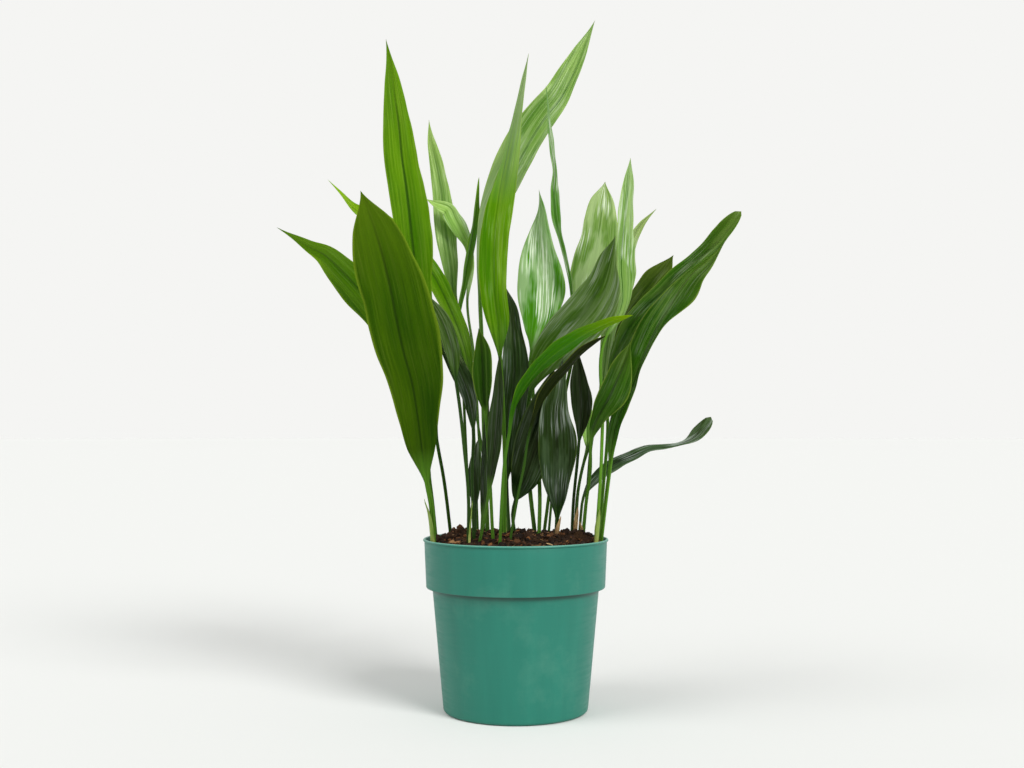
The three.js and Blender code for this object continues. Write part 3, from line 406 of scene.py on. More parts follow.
        [-32, -16, 250], [-28, -22, 319]]),
    "lean_young": dict(slot="mid", look="dark", tone=-0.4, stem=0.5, paintedSheen=0.2, width=17, peak=0.45, base=2,
        stalk=3.2, turn=[-30, -30, -30], rise=0.8, fall=0.8, route=[[-36, -38], [-30, -40, 204],
        [-27, -42, 226], [-22, -44, 261], [-19, -46, 296], [-17, -46, 326], [-16, -46, 361]]),
    "dark_low": dict(slot="dark", tone=-0.45, stem=0.1, paintedSheen=0.3, pleat=0.5, width=46, base=2, stalk=3.6,
        fold=10, rise=0.8, fall=0.8, route=[[-1, 14], [-3, 11, 201], [0, 6, 214], [9, -3, 236],
        [20, -8, 269], [31, -13, 305], [39, -20, 347]]),
}

leafCommon = dict(
    base=3, stalk=3.4, peak=0.5, turn=[0, 0, 0], fold=18, roll=14, rise=0.9, fall=0.9, blunt=0,
    tone=0, fade=0.2, stem=0.25, paintedSheen=0, rib=1, paintedGreySheen=(0, 1, 0), pleat=0.2, wave=0.8)

# Lengths are in millimetres, and places along the blade go from 0 to 1.
leafBuild = dict(
    footDepth=156.5, bladeStep=3.2, leastBladeRows=24, stalkStep=8, leastStalkRows=4,
    columns=24, wideFrom=28, wideColumns=32, marginCrowding=1.35,
    openedAt=1 / 6, flattenedAt=0.22, taperLength=0.15,
    stalkDepth=0.8, stalkTop=0.42, channelDepth=0.25, channelWidth=0.35,
    lamina=0.55, edgeSharpness=10, keel=1.1, keelHalfWidth=1.5, keelAtTip=0.15, keelThinning=0.6,
    groove=0.35, grooveShare=0.6, pleats=5,
    rightRipples=(62, 29), leftRipples=(70.06, 33), secondRipple=0.4, rippleWidening=0.012,
    veinsDrawnIn=0.6, patternShift=90)

soilDome = dict(crest=178, edge=169, radius=94.2)

# glint colours painted glints, and light colours the painted pale streaks, the silver sheen and the
# underside's pale rib
leafLooks = {
    "bright": dict(
        name="sunlit", base=("#3C6E02", "#669408"), streak="#2A5A04", light="#86A238", rib="#2A4A0C",
        margin="#8EAA2A", tip="#8FAC1E", under="#6F9A30", through="#8AB800", glint="#C2D68A",
        shine=0.34, wax=0.1, streaks=0.5),
    "mid": dict(
        name="full green", base=("#285A04", "#457E0E"), streak="#1A4204", light="#86A450", rib="#1D3C0C",
        margin="#A0B848", tip="#8A9A34", under="#557F34", through="#6FA81C", glint="#B8CBA0",
        shine=0.28, wax=0.2, streaks=0.6),
    "pale": dict(
        name="pale new growth", base=("#648C36", "#8AAA58"), streak="#3C6A1C", light="#B4CA90", rib="#2F5A18",
        margin="#9AB45A", tip="#B5B870", under="#86A860", through="#9CC844", glint="#E2EDD4",
        shine=0.24, wax=0.35, streaks=0.7),
    "glossy": dict(
        name="glossy green", base=("#3A7A02", "#56980C"), streak="#2A6202", light="#9AB684", rib="#2F5A18",
        margin="#86A850", tip="#8CA850", under="#6F9A48", through="#7CB824", glint="#E0EBD2",
        shine=0.24, wax=0.35, streaks=0.5),
    "vivid": dict(
        name="vivid green", base=("#347A00", "#529A02"), streak="#226402", light="#6FA62A", rib="#2A5A06",
        margin="#8FB41C", tip="#B4C800", under="#42880A", through="#7CC000", glint="#C2D68A",
        shine=0.34, wax=0.08, streaks=0.4),
    # its grey is partly the real gloss of its wax and partly painted sheen in its light and glint colours
    "grey": dict(
        name="greyed by its wax and painted sheen", base=("#34590A", "#537A1E"), streak="#234208", light="#8FA474",
        rib="#26401A", margin="#7A9450", tip="#7C8A4C", under="#6A8A54", through="#6E9A30", glint="#C6D3BC",
        shine=0.3, wax=0.25, streaks=0.7),
    "olive": dict(
        name="ageing to olive", base=("#33500E", "#55701A"), streak="#2A4208", light="#7C8E44", rib="#26400A",
        margin="#8A962E", tip="#7F8C34", under="#66803A", through="#7C9620", glint="#B4BE94",
        shine=0.36, wax=0.05, streaks=0.6),
    "dark": dict(
        name="old dark", base=("#152A0C", "#2C4C18"), streak="#0F200A", light="#64805A", rib="#101F0A",
        margin="#56702A", tip="#5E6E30", under="#24401A", through="#3A6414", glint="#C0CCC0",
        shine=0.2, wax=0.28, streaks=0.6),
}

# leafPaint holds the painted grey sheen's colour, the stalk's colours and the tint of the real gloss
leafPaint = dict(paintedGreySheen="#7C9068", stalkDark="#26401C", stalkLight="#62962A", sheenTint="#EDFFB3")

# Noises drawn out along the blade: how wide and how long one streak is, in millimetres, and its detail.
leafStreaks = dict(
    fine=(1.6, 90, 2), coarse=(5, 160, 2), patchy=(26, 190, 2), sparkle=(1.4, 45, 3), cluster=(20, 50, 1),
    dull=(15, 70, 3))


def leafMaterial(look):
    # A living leaf with a waxed upper skin: long parallel veins a millimetre or two apart make fine streaks
    # in its colour and break its gloss up along the blade. They are drawn at up to twice their real spacing.
    material, add = newMaterial("aspidistra leaf, " + look["name"])
    places, parts, kinds, seeds, paintedGreySheens = (
        add("Attribute", output="Vector", attribute_name=name)
        for name in ("leafMap", "leafPart", "leafKind", "leafSeed", "leafPaintedGreySheen"))
    across, _, fade = add("SeparateXYZ", [places]).node.outputs
    reach, upBlade, side = add("SeparateXYZ", [parts]).node.outputs
    tone, stem, paintedSheen = add("SeparateXYZ", [kinds]).node.outputs
    ribShow = add("SeparateXYZ", [seeds], "Z")
    paintedGreySheen = add("SeparateXYZ", [paintedGreySheens], "X")

    noises = []
    for wide, long, detail in leafStreaks.values():
        scale = (1 / wide, 1 / long, 0)
        spread = add("VectorMath", (places, scale, seeds), operation="MULTIPLY_ADD")
        noises.append(add("TexNoise", {"Vector": spread, "Scale": 1, "Detail": detail, "Roughness": 0.55}))
    fine, coarse, patchy, sparkle, cluster, dull = noises

    # the midrib, the dull silver patches and small glints of painted sheen, the painted grey sheen and the
    # tip, as strong as the leaf says
    distance = add("Math", [across], operation="ABSOLUTE")
    ribFade = add("MapRange", (upBlade, 1, 0.8, 0, ribShow))
    rib = add("MapRange", (distance, 1.7, 0.8, 0, ribFade))
    dulled = add("Math", (paintedSheen, 0.08, dull), operation="MULTIPLY_ADD")
    silver = add("MapRange", (dulled, 0.53, 0.63, 0, paintedSheen))
    clustered = add("MapRange", (cluster, 0.46, 0.56, 0, paintedSheen))
    glint = add("MapRange", (sparkle, 0.5, 0.6, 0, clustered))
    veined = add("MapRange", (fine, 0.3, 0.6, 0.6, 1))
    veinedGreySheen = add("Math", (paintedGreySheen, veined), operation="MULTIPLY")
    faded = add("MapRange", (upBlade, 0.65, 1, 0, fade))
    tipped = add("MapRange", (upBlade, 0.98, 1, 0, 0.6))
    yellowed = add("Math", (faded, tipped), operation="MAXIMUM")

    # a leaf can strengthen its rib, silver and glints past 1, so their ranges go on to 2
    dark, pale = look["base"]
    streak, light, streaks = look["streak"], look["light"], look["streaks"]
    under = addLayers(
        add, look["under"], (fine, 0.4, 0.6, 0.8, pale), (coarse, 0.5, 0.66, 0.7, streak),
        (rib, 0, 2, 1.2, light))
    # the pale fine streaks, silver patches, glints and grey sheen are painted sheen over the leaf's own
    # colours
    colour = addLayers(
        add, dark, (patchy, 0.35, 0.65, 1, pale), (coarse, 0.5, 0.75, streaks, streak),
        (fine, 0.5, 0.68, streaks, streak), (fine, 0.48, 0.3, 0.7 * streaks, light),
        (rib, 0, 2, 1.6, look["rib"]), (silver, 0, 2, 0.9, light), (glint, 0, 2, 1.2, look["glint"]),
        (side, 0, 1, 0.8, under), (veinedGreySheen, 0, 1, 1, leafPaint["paintedGreySheen"]), (yellowed, 0, 1, 1, look["tip"]))
    # lighter or darker all over, and from the blade's foot to its tip
    climb = add("MapRange", (upBlade, 0, 1, -1, 1))
    lighter = add("Math", (fade, climb, 1), operation="MULTIPLY_ADD")
    value = add("Math", (tone, lighter, lighter), operation="MULTIPLY_ADD")
    colour = add("HueSaturation", {"Color": colour, "Value": value})
    colour = addLayers(add, colour, (reach, 0.9, 0.97, 0.42, look["margin"]))
    stalkTone = add("MapRange", (coarse, 0.3, 0.7, -0.12, 0.12))
    stalkTone = add("Math", (stem, stalkTone), operation="ADD")
    stalk = addLayers(add, leafPaint["stalkDark"], (stalkTone, 0, 1, 1, leafPaint["stalkLight"]))
    colour = addLayers(add, stalk, (upBlade, 0, 0.12, 1, colour))

    rough = add("MapRange", (fine, 0.3, 0.7, look["shine"] - 0.06, look["shine"] + 0.1))
    rough = add("Math", (side, 0.18, rough), operation="MULTIPLY_ADD")
    height = add("Math", (fine, 0.7), operation="MULTIPLY")
    height = add("Math", (coarse, 1.6, height), operation="MULTIPLY_ADD")
    bump = add("Bump", {"Strength": 0.9, "Distance": 0.8 * mm, "Height": height})
    skin = add("BsdfPrincipled", {
        "Base Color": colour, "Roughness": rough, "Normal": bump, "IOR": 1.45,
        "Specular IOR Level": look["wax"], "Specular Tint": leafPaint["sheenTint"]})
    # the darkest leaves let less light through
    passed = add("MapRange", (tone, -1, -0.5))
    through = add("HueSaturation", {"Color": look["through"], "Value": passed})
    glow = add("BsdfTranslucent", [through])
    add("OutputMaterial", [add("MixShader", (0.3, skin, glow))])
    return material


# A smooth curve through points, measured along its chords.
class Route:
    def __init__(self, points):
        self.points = np.array(points, float)
        steps = np.linalg.norm(np.diff(self.points, axis=0), axis=1)
        self.at = np.concatenate([[0], np.cumsum(steps)])
        chords = np.diff(self.points, axis=0) / steps[:, None]
        self.slopes = np.zeros_like(self.points)
        before, after = steps[:-1, None], steps[1:, None]
        self.slopes[1:-1] = (chords[1:] * before + chords[:-1] * after) / (before + after)
        self.slopes[0] = 1.5 * chords[0] - 0.5 * self.slopes[1]
        self.slopes[-1] = 1.5 * chords[-1] - 0.5 * self.slopes[-2]
        self.length = self.at[-1]

    def places(self, u):
        i = np.clip(np.searchsorted(self.at, u, side="left") - 1, 0, len(self.at) - 2)
        span = (self.at[i + 1] - self.at[i])[:, None]
        s = (u - self.at[i])[:, None] / span
        return (self.points[i] * (2 * s ** 3 - 3 * s ** 2 + 1)
                + self.slopes[i] * (s ** 3 - 2 * s ** 2 + s) * span
                + self.points[i + 1] * (3 * s ** 2 - 2 * s ** 3)
                + self.slopes[i + 1] * (s ** 3 - s ** 2) * span)

    # the way it runs, judged half a millimetre to each side
    def directions(self, u):
        ahead = self.places(np.minimum(u + 0.5, self.length)) - self.places(np.maximum(u - 0.5, 0))
        return ahead / np.linalg.norm(ahead, axis=1)[:, None]


# The plain dome of the soil, in millimetres.
def soilHeight(x, y):
    reach = math.hypot(x, y) / soilDome["radius"]
    return soilDome["crest"] - (soilDome["crest"] - soilDome["edge"]) * reach * reach


# The leaf's route, with a foot carried on below the soil to the rhizomes.
def leafRoute(shape):
    (x, y), *above = shape["route"]
    surface = np.array([x, y, soilHeight(x, y)])
    down = surface - np.array(above[0])
    foot = surface + down * (leafBuild["footDepth"] - surface[2]) / down[2]
    return Route([foot, surface] + above)


# Which way is across the leaf and which way its face looks, at each place along its route.
def leafAxes(route, u, turns):
    ahead = route.directions(u)
    right = np.stack([ahead[:, 2], np.zeros(len(u)), -ahead[:, 0]], axis=1)
    right /= np.linalg.norm(right, axis=1)[:, None]
    front = np.cross(right, ahead)
    cos, sin = np.cos(np.radians(turns))[:, None], np.sin(np.radians(turns))[:, None]
    return right * cos - front * sin, front * cos + right * sin


# The width from the midrib to a margin: through the leaf's own widths at every eighth, or a plain lens.
def bladeHalfWidth(shape, t, side):
    stalk = shape["stalk"] / 2
    if side in shape:
        knots = np.array([stalk, stalk] + shape[side] + [0, 0])
        i = np.minimum((t * 8).astype(int), 7)
        a, b, c, d = (knots[i + j] for j in range(4))
        q = t * 8 - i
        half = b + q / 2 * (c - a + q * (2 * a - 5 * b + 4 * c - d + q * (3 * b - a - 3 * c + d)))
        return np.where((i == 7) & (shape["blunt"] > 0), b * np.sqrt(1 - np.minimum(q, 1) ** 2), half)
    widest, peak = shape["width"] / 2, shape["peak"]
    low = stalk + (widest - stalk) * np.sin(np.pi / 2 * np.clip(t / peak, 0, 1)) ** shape["rise"]
    high = widest * np.sin(np.pi / 2 * np.clip((1 - t) / (1 - peak), 0, 1)) ** shape["fall"]
    return np.where(t < peak, low, high)


def makeLeaf(name, shape, material, seed):
    shape = {**leafCommon, **shape}
    build = leafBuild
    luck = random.Random(seed)
    route = leafRoute(shape)
    baseAt = route.at[shape["base"] + 1]
    bladeLength = route.length - baseAt
    stalkRows = max(build["leastStalkRows"], round(baseAt / build["stalkStep"]))
    bladeRows = max(build["leastBladeRows"], round(bladeLength / build["bladeStep"]))
    sides = ("left", "right")
    widths = [max(shape[side]) if side in shape else shape["width"] / 2 for side in sides]
    aroundHalf = build["wideColumns"] if sum(widths) > build["wideFrom"] else build["columns"]
    around, rows = 2 * aroundHalf, stalkRows + bladeRows
    leaf, gridX, gridY = newGrid(name + "_leaf", around, rows)
    mesh = leaf.data
    column = np.rint((gridX + 1) / 2 * around).astype(int)
    row = np.rint((gridY + 1) / 2 * rows).astype(int)

    rowU = np.concatenate([baseAt * np.arange(stalkRows) / stalkRows,
                           baseAt + bladeLength * np.arange(bladeRows + 1) / bladeRows])
    rowT = np.clip((rowU - baseAt) / bladeLength, 0, 1)
    centres = route.places(rowU)
    across, face = leafAxes(route, rowU, np.interp(rowT, [0, 0.5, 1], shape["turn"]))
    stalkHalf = shape["stalk"] / 2
    halves = [np.where(rowT == 0, stalkHalf, bladeHalfWidth(shape, rowT, side)) for side in sides]
    opened = np.minimum(1, rowT / build["openedAt"])
    flat = np.minimum(1, rowT / build["flattenedAt"])
    flat = flat * flat * (3 - 2 * flat)
    fold = np.radians(shape["fold"]) * opened
    roll = np.radians(shape["roll"]) * opened + 1e-4  # never nothing, as it divides below

    # each row is a ring: the upper side from the left margin to the right, then the under side back
    k = np.arange(around + 1)
    q = np.where(k <= aroundHalf, k, around - k) / aroundHalf * 2 - 1
    s = np.sin(np.pi / 2 * np.sign(q) * np.abs(q) ** build["marginCrowding"])[column]
    upper = np.where(k <= aroundHalf, 1.0, -1.0)[column]
    t, h = rowT[row], np.where(s < 0, halves[0][row], halves[1][row])
    size = np.abs(s)
    atRib, here = fold[row], fold[row] - roll[row] * size
    alongArc = np.where(t > 0, np.sign(s) * (np.sin(atRib) - np.sin(here)) / roll[row], s)
    liftArc = np.where(t > 0, (np.cos(here) - np.cos(atRib)) / roll[row], 0)

    # how thick it is: a channelled stalk, then a thin blade with a keel under its midrib and a groove above
    fromRib = s * h
    taper = np.clip((1 - t) / build["taperLength"], 0, 1)
    stalkSize = shape["stalk"] * build["stalkDepth"]
    roundEdge = np.sqrt(np.clip(1 - s ** 2, 0, 1))
    channel = build["channelDepth"] * np.exp(-(s / build["channelWidth"]) ** 2)
    stalkUp = stalkSize * (build["stalkTop"] * roundEdge - channel)
    stalkDown = stalkSize * (1 - build["stalkTop"]) * roundEdge
    bladeEdge = build["lamina"] / 2 * np.sqrt(np.clip(1 - size ** build["edgeSharpness"], 0, 1))
    keelWidth, thin = build["keelHalfWidth"], build["keelAtTip"]
    keel = build["keel"] * np.exp(-(fromRib / keelWidth) ** 2)
    keel = keel * (thin + (1 - thin) * taper) * (1 - build["keelThinning"] * t)
    groove = build["groove"] * np.exp(-(fromRib / (build["grooveShare"] * keelWidth)) ** 2) * taper
    share = flat[row]
    off = np.where(upper > 0, stalkUp * (1 - share) + (bladeEdge - groove) * share,
                   -(stalkDown * (1 - share) + (bladeEdge + keel) * share))

    # long pleats between the main veins, and ripples along each margin
    pleat = shape["pleat"] * np.cos(np.pi * build["pleats"] * size) * (1 - size ** 6) * opened[row] * taper
    fromBase = rowU[row] - baseAt
    fullTurn = 6.28
    phases = [luck.uniform(0, fullTurn) for _ in range(4)]
    waves = [np.sin(fromBase / length * fullTurn + phase)
             for length, phase in zip(build["rightRipples"] + build["leftRipples"], phases)]
    second = build["secondRipple"]
    ripple = np.where(s > 0, waves[0] + second * waves[1], waves[2] + second * waves[3])
    ripple *= shape["wave"] * size ** 3 * opened[row] * np.sin(np.pi * np.clip(t, 0, 1)) ** 0.5
    lift = liftArc * h + off + (pleat + ripple) * share
    width = alongArc * h * (1 + build["rippleWidening"] * ripple)

    ends = (row == 0) | (row == rows)
    width[ends] = lift[ends] = 0
    spots = centres[row] + across[row] * width[:, None] + face[row] * lift[:, None]
    mesh.vertices.foreach_set("co", (spots * mm).ravel())

    # the veins draw together where the blade narrows, but less than its margins do
    drawn = build["veinsDrawnIn"]
    veinAcross = s * ((1 - drawn) * np.where(s < 0, *widths) + drawn * h)
    underside = np.clip(0.5 - 0.5 * upper * np.clip(roundEdge * 4, 0, 1), 0, 1)
    shifts = [luck.uniform(0, build["patternShift"]) for _ in range(2)]
    start, end, amount = shape["paintedGreySheen"]
    storeVectors(mesh, "leafMap", veinAcross, fromBase, shape["fade"])
    storeVectors(mesh, "leafPart", size * share, t, underside)
    storeVectors(mesh, "leafSeed", *shifts, shape["rib"])
    storeVectors(mesh, "leafKind", shape["tone"], shape["stem"], shape["paintedSheen"])
    storeVectors(mesh, "leafPaintedGreySheen", amount * np.clip((t - start) / (end - start), 0, 1))
    mesh.update()
    bpy.ops.object.mode_set(mode="EDIT")
    bpy.ops.mesh.select_all(action="SELECT")
    bpy.ops.mesh.remove_doubles(threshold=0.01 * mm)
    bpy.ops.mesh.normals_make_consistent(inside=False)
    bpy.ops.object.mode_set(mode="OBJECT")
    finishPiece(leaf, "leaf_" + name, material, smoothAngle=60)


leafMaterials = {key: leafMaterial(look) for key, look in leafLooks.items()}
for number, (name, shape) in enumerate(leafShapes.items()):
    makeLeaf(name, shape, leafMaterials[shape.get("look", shape["slot"])], number + 1)
print(len(leafShapes), "leaves made")


# Sheaths round the stalks' feet

# side is where round its stalk each one stands, in degrees, and flare how far its tip leans away. Lengths
# are in millimetres.
sheathShapes = {
    "front_left": dict(dry=False, height=46, side=190, flare=3),
    "grey_left": dict(dry=False, height=40, side=10, flare=1.5),
    "tall_middle": dict(dry=False, height=26, side=120, flare=1.5),
    "narrow_right": dict(dry=False, height=34, side=230, flare=1),
    "dark_front": dict(dry=True, height=20, side=330, flare=1.5),
    "front_right": dict(dry=True, height=18, side=200, flare=3),
    "bent_tip": dict(dry=True, height=30, side=270, flare=1),
}

# Each half wraps round the stalk by so many degrees at its foot and its tip.
sheathBuild = dict(
    around=28, rows=36, gap=0.4, thickness=0.35, sunk=5, footWrap=110, tipWrap=8,
    notch=0.06, notchRate=9, curl=0.25, curlRate=14)

sheathLooks = {
    False: dict(name="green", base="#55761F", streak="#8AA044", foot="#A3A65A", rough=0.5),
    True: dict(name="dried", base="#8A6740", streak="#C4A670", foot="#5E4028", rough=0.8),
}


def sheathMaterial(look):
    # A papery scale leaf: close parallel ribs, paler between them, of another colour where it leaves the soil
    material, add = newMaterial("aspidistra scale leaf, " + look["name"])
    places = add("Attribute", output="Vector", attribute_name="sheathMap")
    upward = add("SeparateXYZ", [places], "Y")
    # one rib is 0.7 mm wide and 25 mm long
    spread = add("Mapping", {"Vector": places, "Scale": (1 / 0.7, 1 / 25, 1)})
    ribs = add("TexNoise", {"Vector": spread, "Scale": 1, "Detail": 3})
    colour = add("ValToRGB", [ribs], stops=[(0.35, look["base"]), (0.65, look["streak"])])
    colour = addLayers(add, colour, (upward, 12, 0, 1, look["foot"]))
    bump = add("Bump", {"Strength": 0.6, "Distance": 0.2 * mm, "Height": ribs})
    skin = add("BsdfPrincipled", {
        "Base Color": colour, "Roughness": look["rough"], "Normal": bump, "IOR": 1.45})
    add("OutputMaterial", [skin])
    return material


def makeSheath(name, shape, material, seed):
    build = sheathBuild
    luck = random.Random(seed)
    leaf = {**leafCommon, **leafShapes[name]}
    route = leafRoute(leaf)
    sheath, aside, gridY = newGrid(name + "_scale_leaf", build["around"], build["rows"])
    mesh = sheath.data
    t = (gridY + 1) / 2
    tall = shape["height"] + build["sunk"]
    notch = build["notch"] * np.sin(build["notchRate"] * aside + luck.uniform(0, 6)) * t ** 6
    u = route.at[1] - build["sunk"] + tall * (t + notch)
    across, face = leafAxes(route, u, np.full(len(u), leaf["turn"][0]))
    wrap = np.radians(build["footWrap"] - (build["footWrap"] - build["tipWrap"]) * t ** 2.5)
    angle = math.radians(shape["side"]) + wrap * aside
    curl = build["curl"] * np.sin(build["curlRate"] * t + luck.uniform(0, 6)) * np.abs(aside) ** 3
    off = build["gap"] + shape["flare"] * t ** 2 + curl * t
    girth = leaf["stalk"] / 2 + off
    depth = leaf["stalk"] * leafBuild["stalkDepth"] / 2 + off
    rightward, backward = girth * np.cos(angle), depth * np.sin(angle)
    spots = route.places(u) + across * rightward[:, None] - face * backward[:, None]
    mesh.vertices.foreach_set("co", (spots * mm).ravel())
    # in millimetres round and up, and a step into the pattern so that no two sheaths match
    storeVectors(mesh, "sheathMap", girth * wrap * aside, tall * t - build["sunk"], 5 * seed)
    mesh.update()
    shell = sheath.modifiers.new("thickness", "SOLIDIFY")
    shell.thickness = build["thickness"] * mm
    shell.offset = 0
    bpy.context.view_layer.objects.active = sheath
    bpy.ops.object.modifier_apply(modifier=shell.name)
    finishPiece(sheath, "sheath_" + name, material, smoothAngle=50)


sheathMaterials = {dry: sheathMaterial(look) for dry, look in sheathLooks.items()}
for number, (name, shape) in enumerate(sheathShapes.items()):
    makeSheath(name, shape, sheathMaterials[shape["dry"]], number + 1)
print(len(sheathShapes), "sheaths made")


# Potting mix

# Mounds are a place, a height and a width, lumps a width and a height. peat and bark go from their darkest
# colour to their palest.
soilShape = dict(
    sides=300, rings=66, ringRise=0.01, gap=0.4, bottom=2.3, rim=166, middle=1.2,
    reach=91, edgeWidth=9, edgeDrop=3.5, edgeLumps=0.3, litterReach=88,
    mounds=[(-62, -2, 8, 13), (-58, 18, 5, 16), (-20, 22, 2.5, 20), (8, -5, 1.5, 30), (50, 22, 4, 18),
            (68, 0, 6.5, 13)],
    lumps=[(26, 2.6), (9, 3.2), (3.4, 2.1)],
    peat=[(0.5, "#0A0603"), (0.68, "#21150B"), (0.86, "#4E361F")],
    bark=[(0.0, "#0E0804"), (0.4, "#3A2413"), (0.7, "#8E5C34"), (1.0, "#D8B884")], barkGrain="#22140D")


# Height of the crumbly surface, in millimetres.
def surfaceHeight(x, y):
    s = soilShape
    height = soilHeight(x, y)
    for moundX, moundY, tall, wide in s["mounds"]:
        height += tall * math.exp(-((x - moundX) ** 2 + (y - moundY) ** 2) / wide ** 2)
    edge = min(1, max(0, (s["reach"] - math.hypot(x, y)) / s["edgeWidth"]))
    lumpy = s["edgeLumps"] + (1 - s["edgeLumps"]) * edge
    for size, tall in s["lumps"]:
        height += tall * noise.noise(Vector((x / size, y / size, size))) * lumpy
    return height - s["edgeDrop"] * (1 - edge)


def soilMaterial():
    # Peat and composted bark, damp: near black crumbs with browner dry faces
    material, add = newMaterial("bark and peat potting mix")
    place = add("TexCoord", output="Object")
    # crumbs 3 mm across, grain of 1.4 mm and finer, patches of about 14 mm
    crumbs = add("TexVoronoi", {"Vector": place, "Scale": 320})
    grain = add("TexNoise", {"Vector": place, "Scale": 700, "Detail": 6, "Roughness": 0.7})
    patch = add("TexNoise", {"Vector": place, "Scale": 70, "Detail": 4})
    tint = add("Math", (patch, 0.5, 0.22), operation="MULTIPLY_ADD")
    tint = add("Math", (grain, 0.5, tint), operation="MULTIPLY_ADD")
    colour = add("ValToRGB", [tint], stops=soilShape["peat"])
    height = add("Math", (crumbs, grain), operation="ADD")
    bump = add("Bump", {"Strength": 0.9, "Distance": 1.8 * mm, "Height": height})
    skin = add("BsdfPrincipled", {
        "Base Color": colour, "Roughness": 0.9, "Specular IOR Level": 0.15, "Normal": bump})
    add("OutputMaterial", [skin])
    return material


def barkMaterial():
    # Pine bark chips and wood fibre: red-brown to straw, with a fibrous grain along each chip
    material, add = newMaterial("pine bark chips")
    tones = add("Attribute", output="Vector", attribute_name="chipTone")
    tone = add("SeparateXYZ", [tones], "X")
    place = add("TexCoord", output="Object")
    # wood grain of 1 mm and finer
    grain = add("TexNoise", {"Vector": place, "Scale": 900, "Detail": 5})
    colour = add("ValToRGB", [tone], stops=soilShape["bark"])
    colour = addLayers(add, colour, (grain, 0.35, 0.7, 0.5, soilShape["barkGrain"]))
    bump = add("Bump", {"Strength": 0.7, "Distance": 0.5 * mm, "Height": grain})
    skin = add("BsdfPrincipled", {
        "Base Color": colour, "Roughness": 0.85, "Specular IOR Level": 0.2, "Normal": bump})
    add("OutputMaterial", [skin])
    return material


# A closed body up from the pot's floor along its inner wall, with a crumbly top.
def makeSoil(material):
    s, p = soilShape, potShape
    clear = p["wall"] + s["gap"]
    foot, shoulder, rim = p["foot"] - clear, p["bandBottom"] + clear, p["bandTopRadius"] - clear - 0.4
    rings = [
        (p["innermostRing"], s["bottom"]), (foot - 3, s["bottom"]), (foot, p["floor"] + 3.3),
        (p["bodyTop"] - clear - 0.2, shoulder), (p["bandBottomRadius"] - clear, shoulder), (rim, s["rim"])]
    rings += [(rim - (rim - s["middle"]) * i / s["rings"], s["rim"] + s["ringRise"] * i)
              for i in range(1, s["rings"] + 1)]
    soil = turnRings("potting_mix", rings, s["sides"])
    # all of the top, from the rim inwards
    for vertex in soil.data.vertices:
        if vertex.co.z > (s["rim"] - 0.1) * mm:
            vertex.co.z = surfaceHeight(vertex.co.x / mm, vertex.co.y / mm) * mm
    finishPiece(soil, "soil", material, smoothAngle=70)


# What lies in the surface: how many of each, how far they keep from the edge and from the stalks, their
# sizes, their lowest, highest and commonest tone, and how much of its size one is raised. A fibre is a
# radius and a length.
litterShapes = {
    "peat_clods": dict(
        subdivisions=2, count=90, seed=10, margin=4, clearance=6, sizes=(2.6, 5), tones=(0, 0.55, 0.1),
        raised=0.1),
    "peat_crumbs": dict(
        subdivisions=1, count=900, seed=11, margin=1, clearance=3.5, sizes=(0.8, 2.6), tones=(0, 0.75, 0.05),
        raised=0.35),
    "bark_chips": dict(
        subdivisions=1, form=(1.7, 0.75, 0.3), count=150, seed=12, margin=6, clearance=5.5, sizes=(1.4, 4),
        tones=(0.1, 1, 0.5), raised=0.25),
    "wood_fibres": dict(
        fibre=(0.045, 2.6), count=70, seed=13, margin=8, clearance=5, sizes=(2.5, 6), tones=(0.6, 1, 0.9),
        raised=0.1),
}

# How far each copy leans, how much it is stretched three ways and how uneven it is.
litterLuck = dict(lean=(-0.5, 0.5), stretch=((0.6, 1.4), (0.6, 1.3), (0.6, 1.2)), uneven=(0.7, 1.25))


# Places on the soil that keep clear of the stalks.
def scatterSpots(luck, litter):
    feet = [shape["route"][0] for shape in leafShapes.values()]
    spots = []
    while len(spots) < litter["count"]:
        reach = (soilShape["litterReach"] - litter["margin"]) * math.sqrt(luck.random())
        angle = luck.uniform(0, 2 * math.pi)
        x, y = reach * math.cos(angle), reach * math.sin(angle)
        if all(math.hypot(x - footX, y - footY) > litter["clearance"] for footX, footY in feet):
            spots.append((x, y))
    return spots


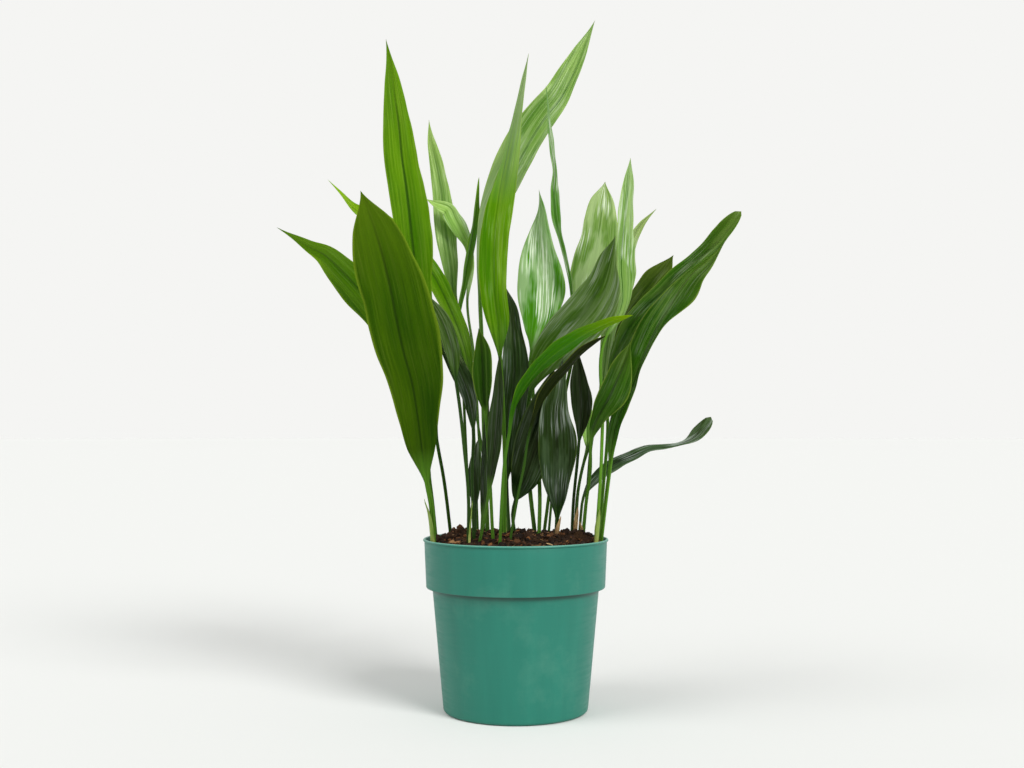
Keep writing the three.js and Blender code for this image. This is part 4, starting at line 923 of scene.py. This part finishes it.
# Copies of one small starter mesh, each turned, sized and set in the surface, joined in one piece.
def makeLitter(name, litter, material):
    luck = random.Random(litter["seed"])
    deselectAll()
    if "fibre" in litter:
        radius, length = litter["fibre"]
        bpy.ops.mesh.primitive_cylinder_add(
            vertices=5, radius=radius, depth=length, rotation=(0, math.pi / 2, 0))
    else:
        bpy.ops.mesh.primitive_ico_sphere_add(subdivisions=litter["subdivisions"], radius=1)
        bpy.ops.transform.resize(value=litter.get("form", (1, 1, 1)), center_override=(0, 0, 0))
    bpy.ops.object.transform_apply()
    first = bpy.context.object
    base = np.array([vertex.co[:] for vertex in first.data.vertices])
    faces = [tuple(face.vertices) for face in first.data.polygons]
    bpy.data.objects.remove(first)
    allSpots, allFaces, allTones = [], [], []
    for x, y in scatterSpots(luck, litter):
        size = luck.uniform(*litter["sizes"])
        lean = Vector((luck.uniform(*litterLuck["lean"]), luck.uniform(*litterLuck["lean"]), 1))
        leaning = np.array(Vector((0, 0, 1)).rotation_difference(lean).to_matrix())
        spin = luck.uniform(0, 2 * math.pi)
        cos, sin = math.cos(spin), math.sin(spin)
        spinning = np.array([[cos, -sin, 0], [sin, cos, 0], [0, 0, 1]])
        stretch = np.array([luck.uniform(*limits) for limits in litterLuck["stretch"]])
        uneven = np.array([[luck.uniform(*litterLuck["uneven"])] for _ in base])
        spots = (base * uneven * stretch * size) @ spinning.T @ leaning.T
        spots += np.array([x, y, surfaceHeight(x, y) + size * litter["raised"]])
        allFaces += [tuple(index + len(allSpots) for index in face) for face in faces]
        allSpots += [tuple(spot * mm) for spot in spots]
        allTones += [luck.triangular(*litter["tones"])] * len(spots)
    deselectAll()
    bpy.ops.mesh.primitive_plane_add()
    piece = bpy.context.object
    piece.name = name
    piece.data.clear_geometry()
    piece.data.from_pydata(allSpots, [], allFaces)
    storeVectors(piece.data, "chipTone", allTones)
    piece.data.update()
    finishPiece(piece, "soil", material, smoothAngle=30)


makeSoil(soilMaterial())
bark = barkMaterial()
for name, litter in litterShapes.items():
    makeLitter(name, litter, bark)
print("potting mix made")


# Rhizomes, which the soil hides

rhizomeLook = dict(scars="#6E5430", straw="#B29A66")


def rhizomeMaterial():
    # A creeping stem with a thin straw skin, blotched by the scars of old scale leaves 5 or 6 mm apart
    material, add = newMaterial("aspidistra rhizome skin")
    place = add("TexCoord", output="Object")
    blotches = add("TexNoise", {"Vector": place, "Scale": 180, "Detail": 6})
    colour = add("ValToRGB", [blotches], stops=[(0.3, rhizomeLook["scars"]), (0.7, rhizomeLook["straw"])])
    bump = add("Bump", {"Strength": 0.5, "Distance": 0.6 * mm, "Height": blotches})
    skin = add("BsdfPrincipled", {"Base Color": colour, "Roughness": 0.75, "Normal": bump, "IOR": 1.45})
    add("OutputMaterial", [skin])
    return material


rhizomeSkin = rhizomeMaterial()
for name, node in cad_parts.items():
    if name.startswith("rhizome_"):
        node.data.materials.clear()
        node.data.materials.append(rhizomeSkin)


# Floor and light

# The floor is in metres. A lamp's spread is how wide it looks and its tilt where it shines, in degrees.
studio = dict(
    floor="#E9E9E6", floorRadius=60, floorDrop=0.0002, wall="#F5F5F3", ceiling="#8C9092",
    key=dict(power=2.3, spread=26, tilt=(54, 0, 38)), fill=dict(power=0.9, spread=32, tilt=(38, 0, -58)))

deselectAll()
bpy.ops.mesh.primitive_circle_add(
    vertices=96, radius=studio["floorRadius"], fill_type="NGON", location=(0, 0, -studio["floorDrop"]))
floor = bpy.context.object
floor.name = "studio_floor"
floorPaper, add = newMaterial("matte studio paper")
paper = add("BsdfPrincipled", {"Base Color": studio["floor"], "Roughness": 1, "Specular IOR Level": 0.1})
add("OutputMaterial", [paper])
floor.data.materials.append(floorPaper)

scene.world = bpy.data.worlds.new("soft white room")
scene.world.use_nodes = True
scene.world.node_tree.nodes.clear()
add = partial(addNode, scene.world.node_tree)
# Pale walls up to about 25 degrees above the floor, a dimmer ceiling over them
direction = add("TexCoord", output="Generated")
upward = add("SeparateXYZ", [direction], "Z")
tint = add("ValToRGB", [upward], stops=[(0.42, studio["wall"]), (0.7, studio["ceiling"])])
add("OutputWorld", [add("Background", [tint])])

for name in ("key", "fill"):
    light = studio[name]
    bpy.ops.object.light_add(type="SUN", rotation=[math.radians(angle) for angle in light["tilt"]])
    lamp = bpy.context.object
    lamp.name = name + "_light"
    lamp.data.energy = light["power"]
    lamp.data.angle = math.radians(light["spread"])
print("floor and light placed")
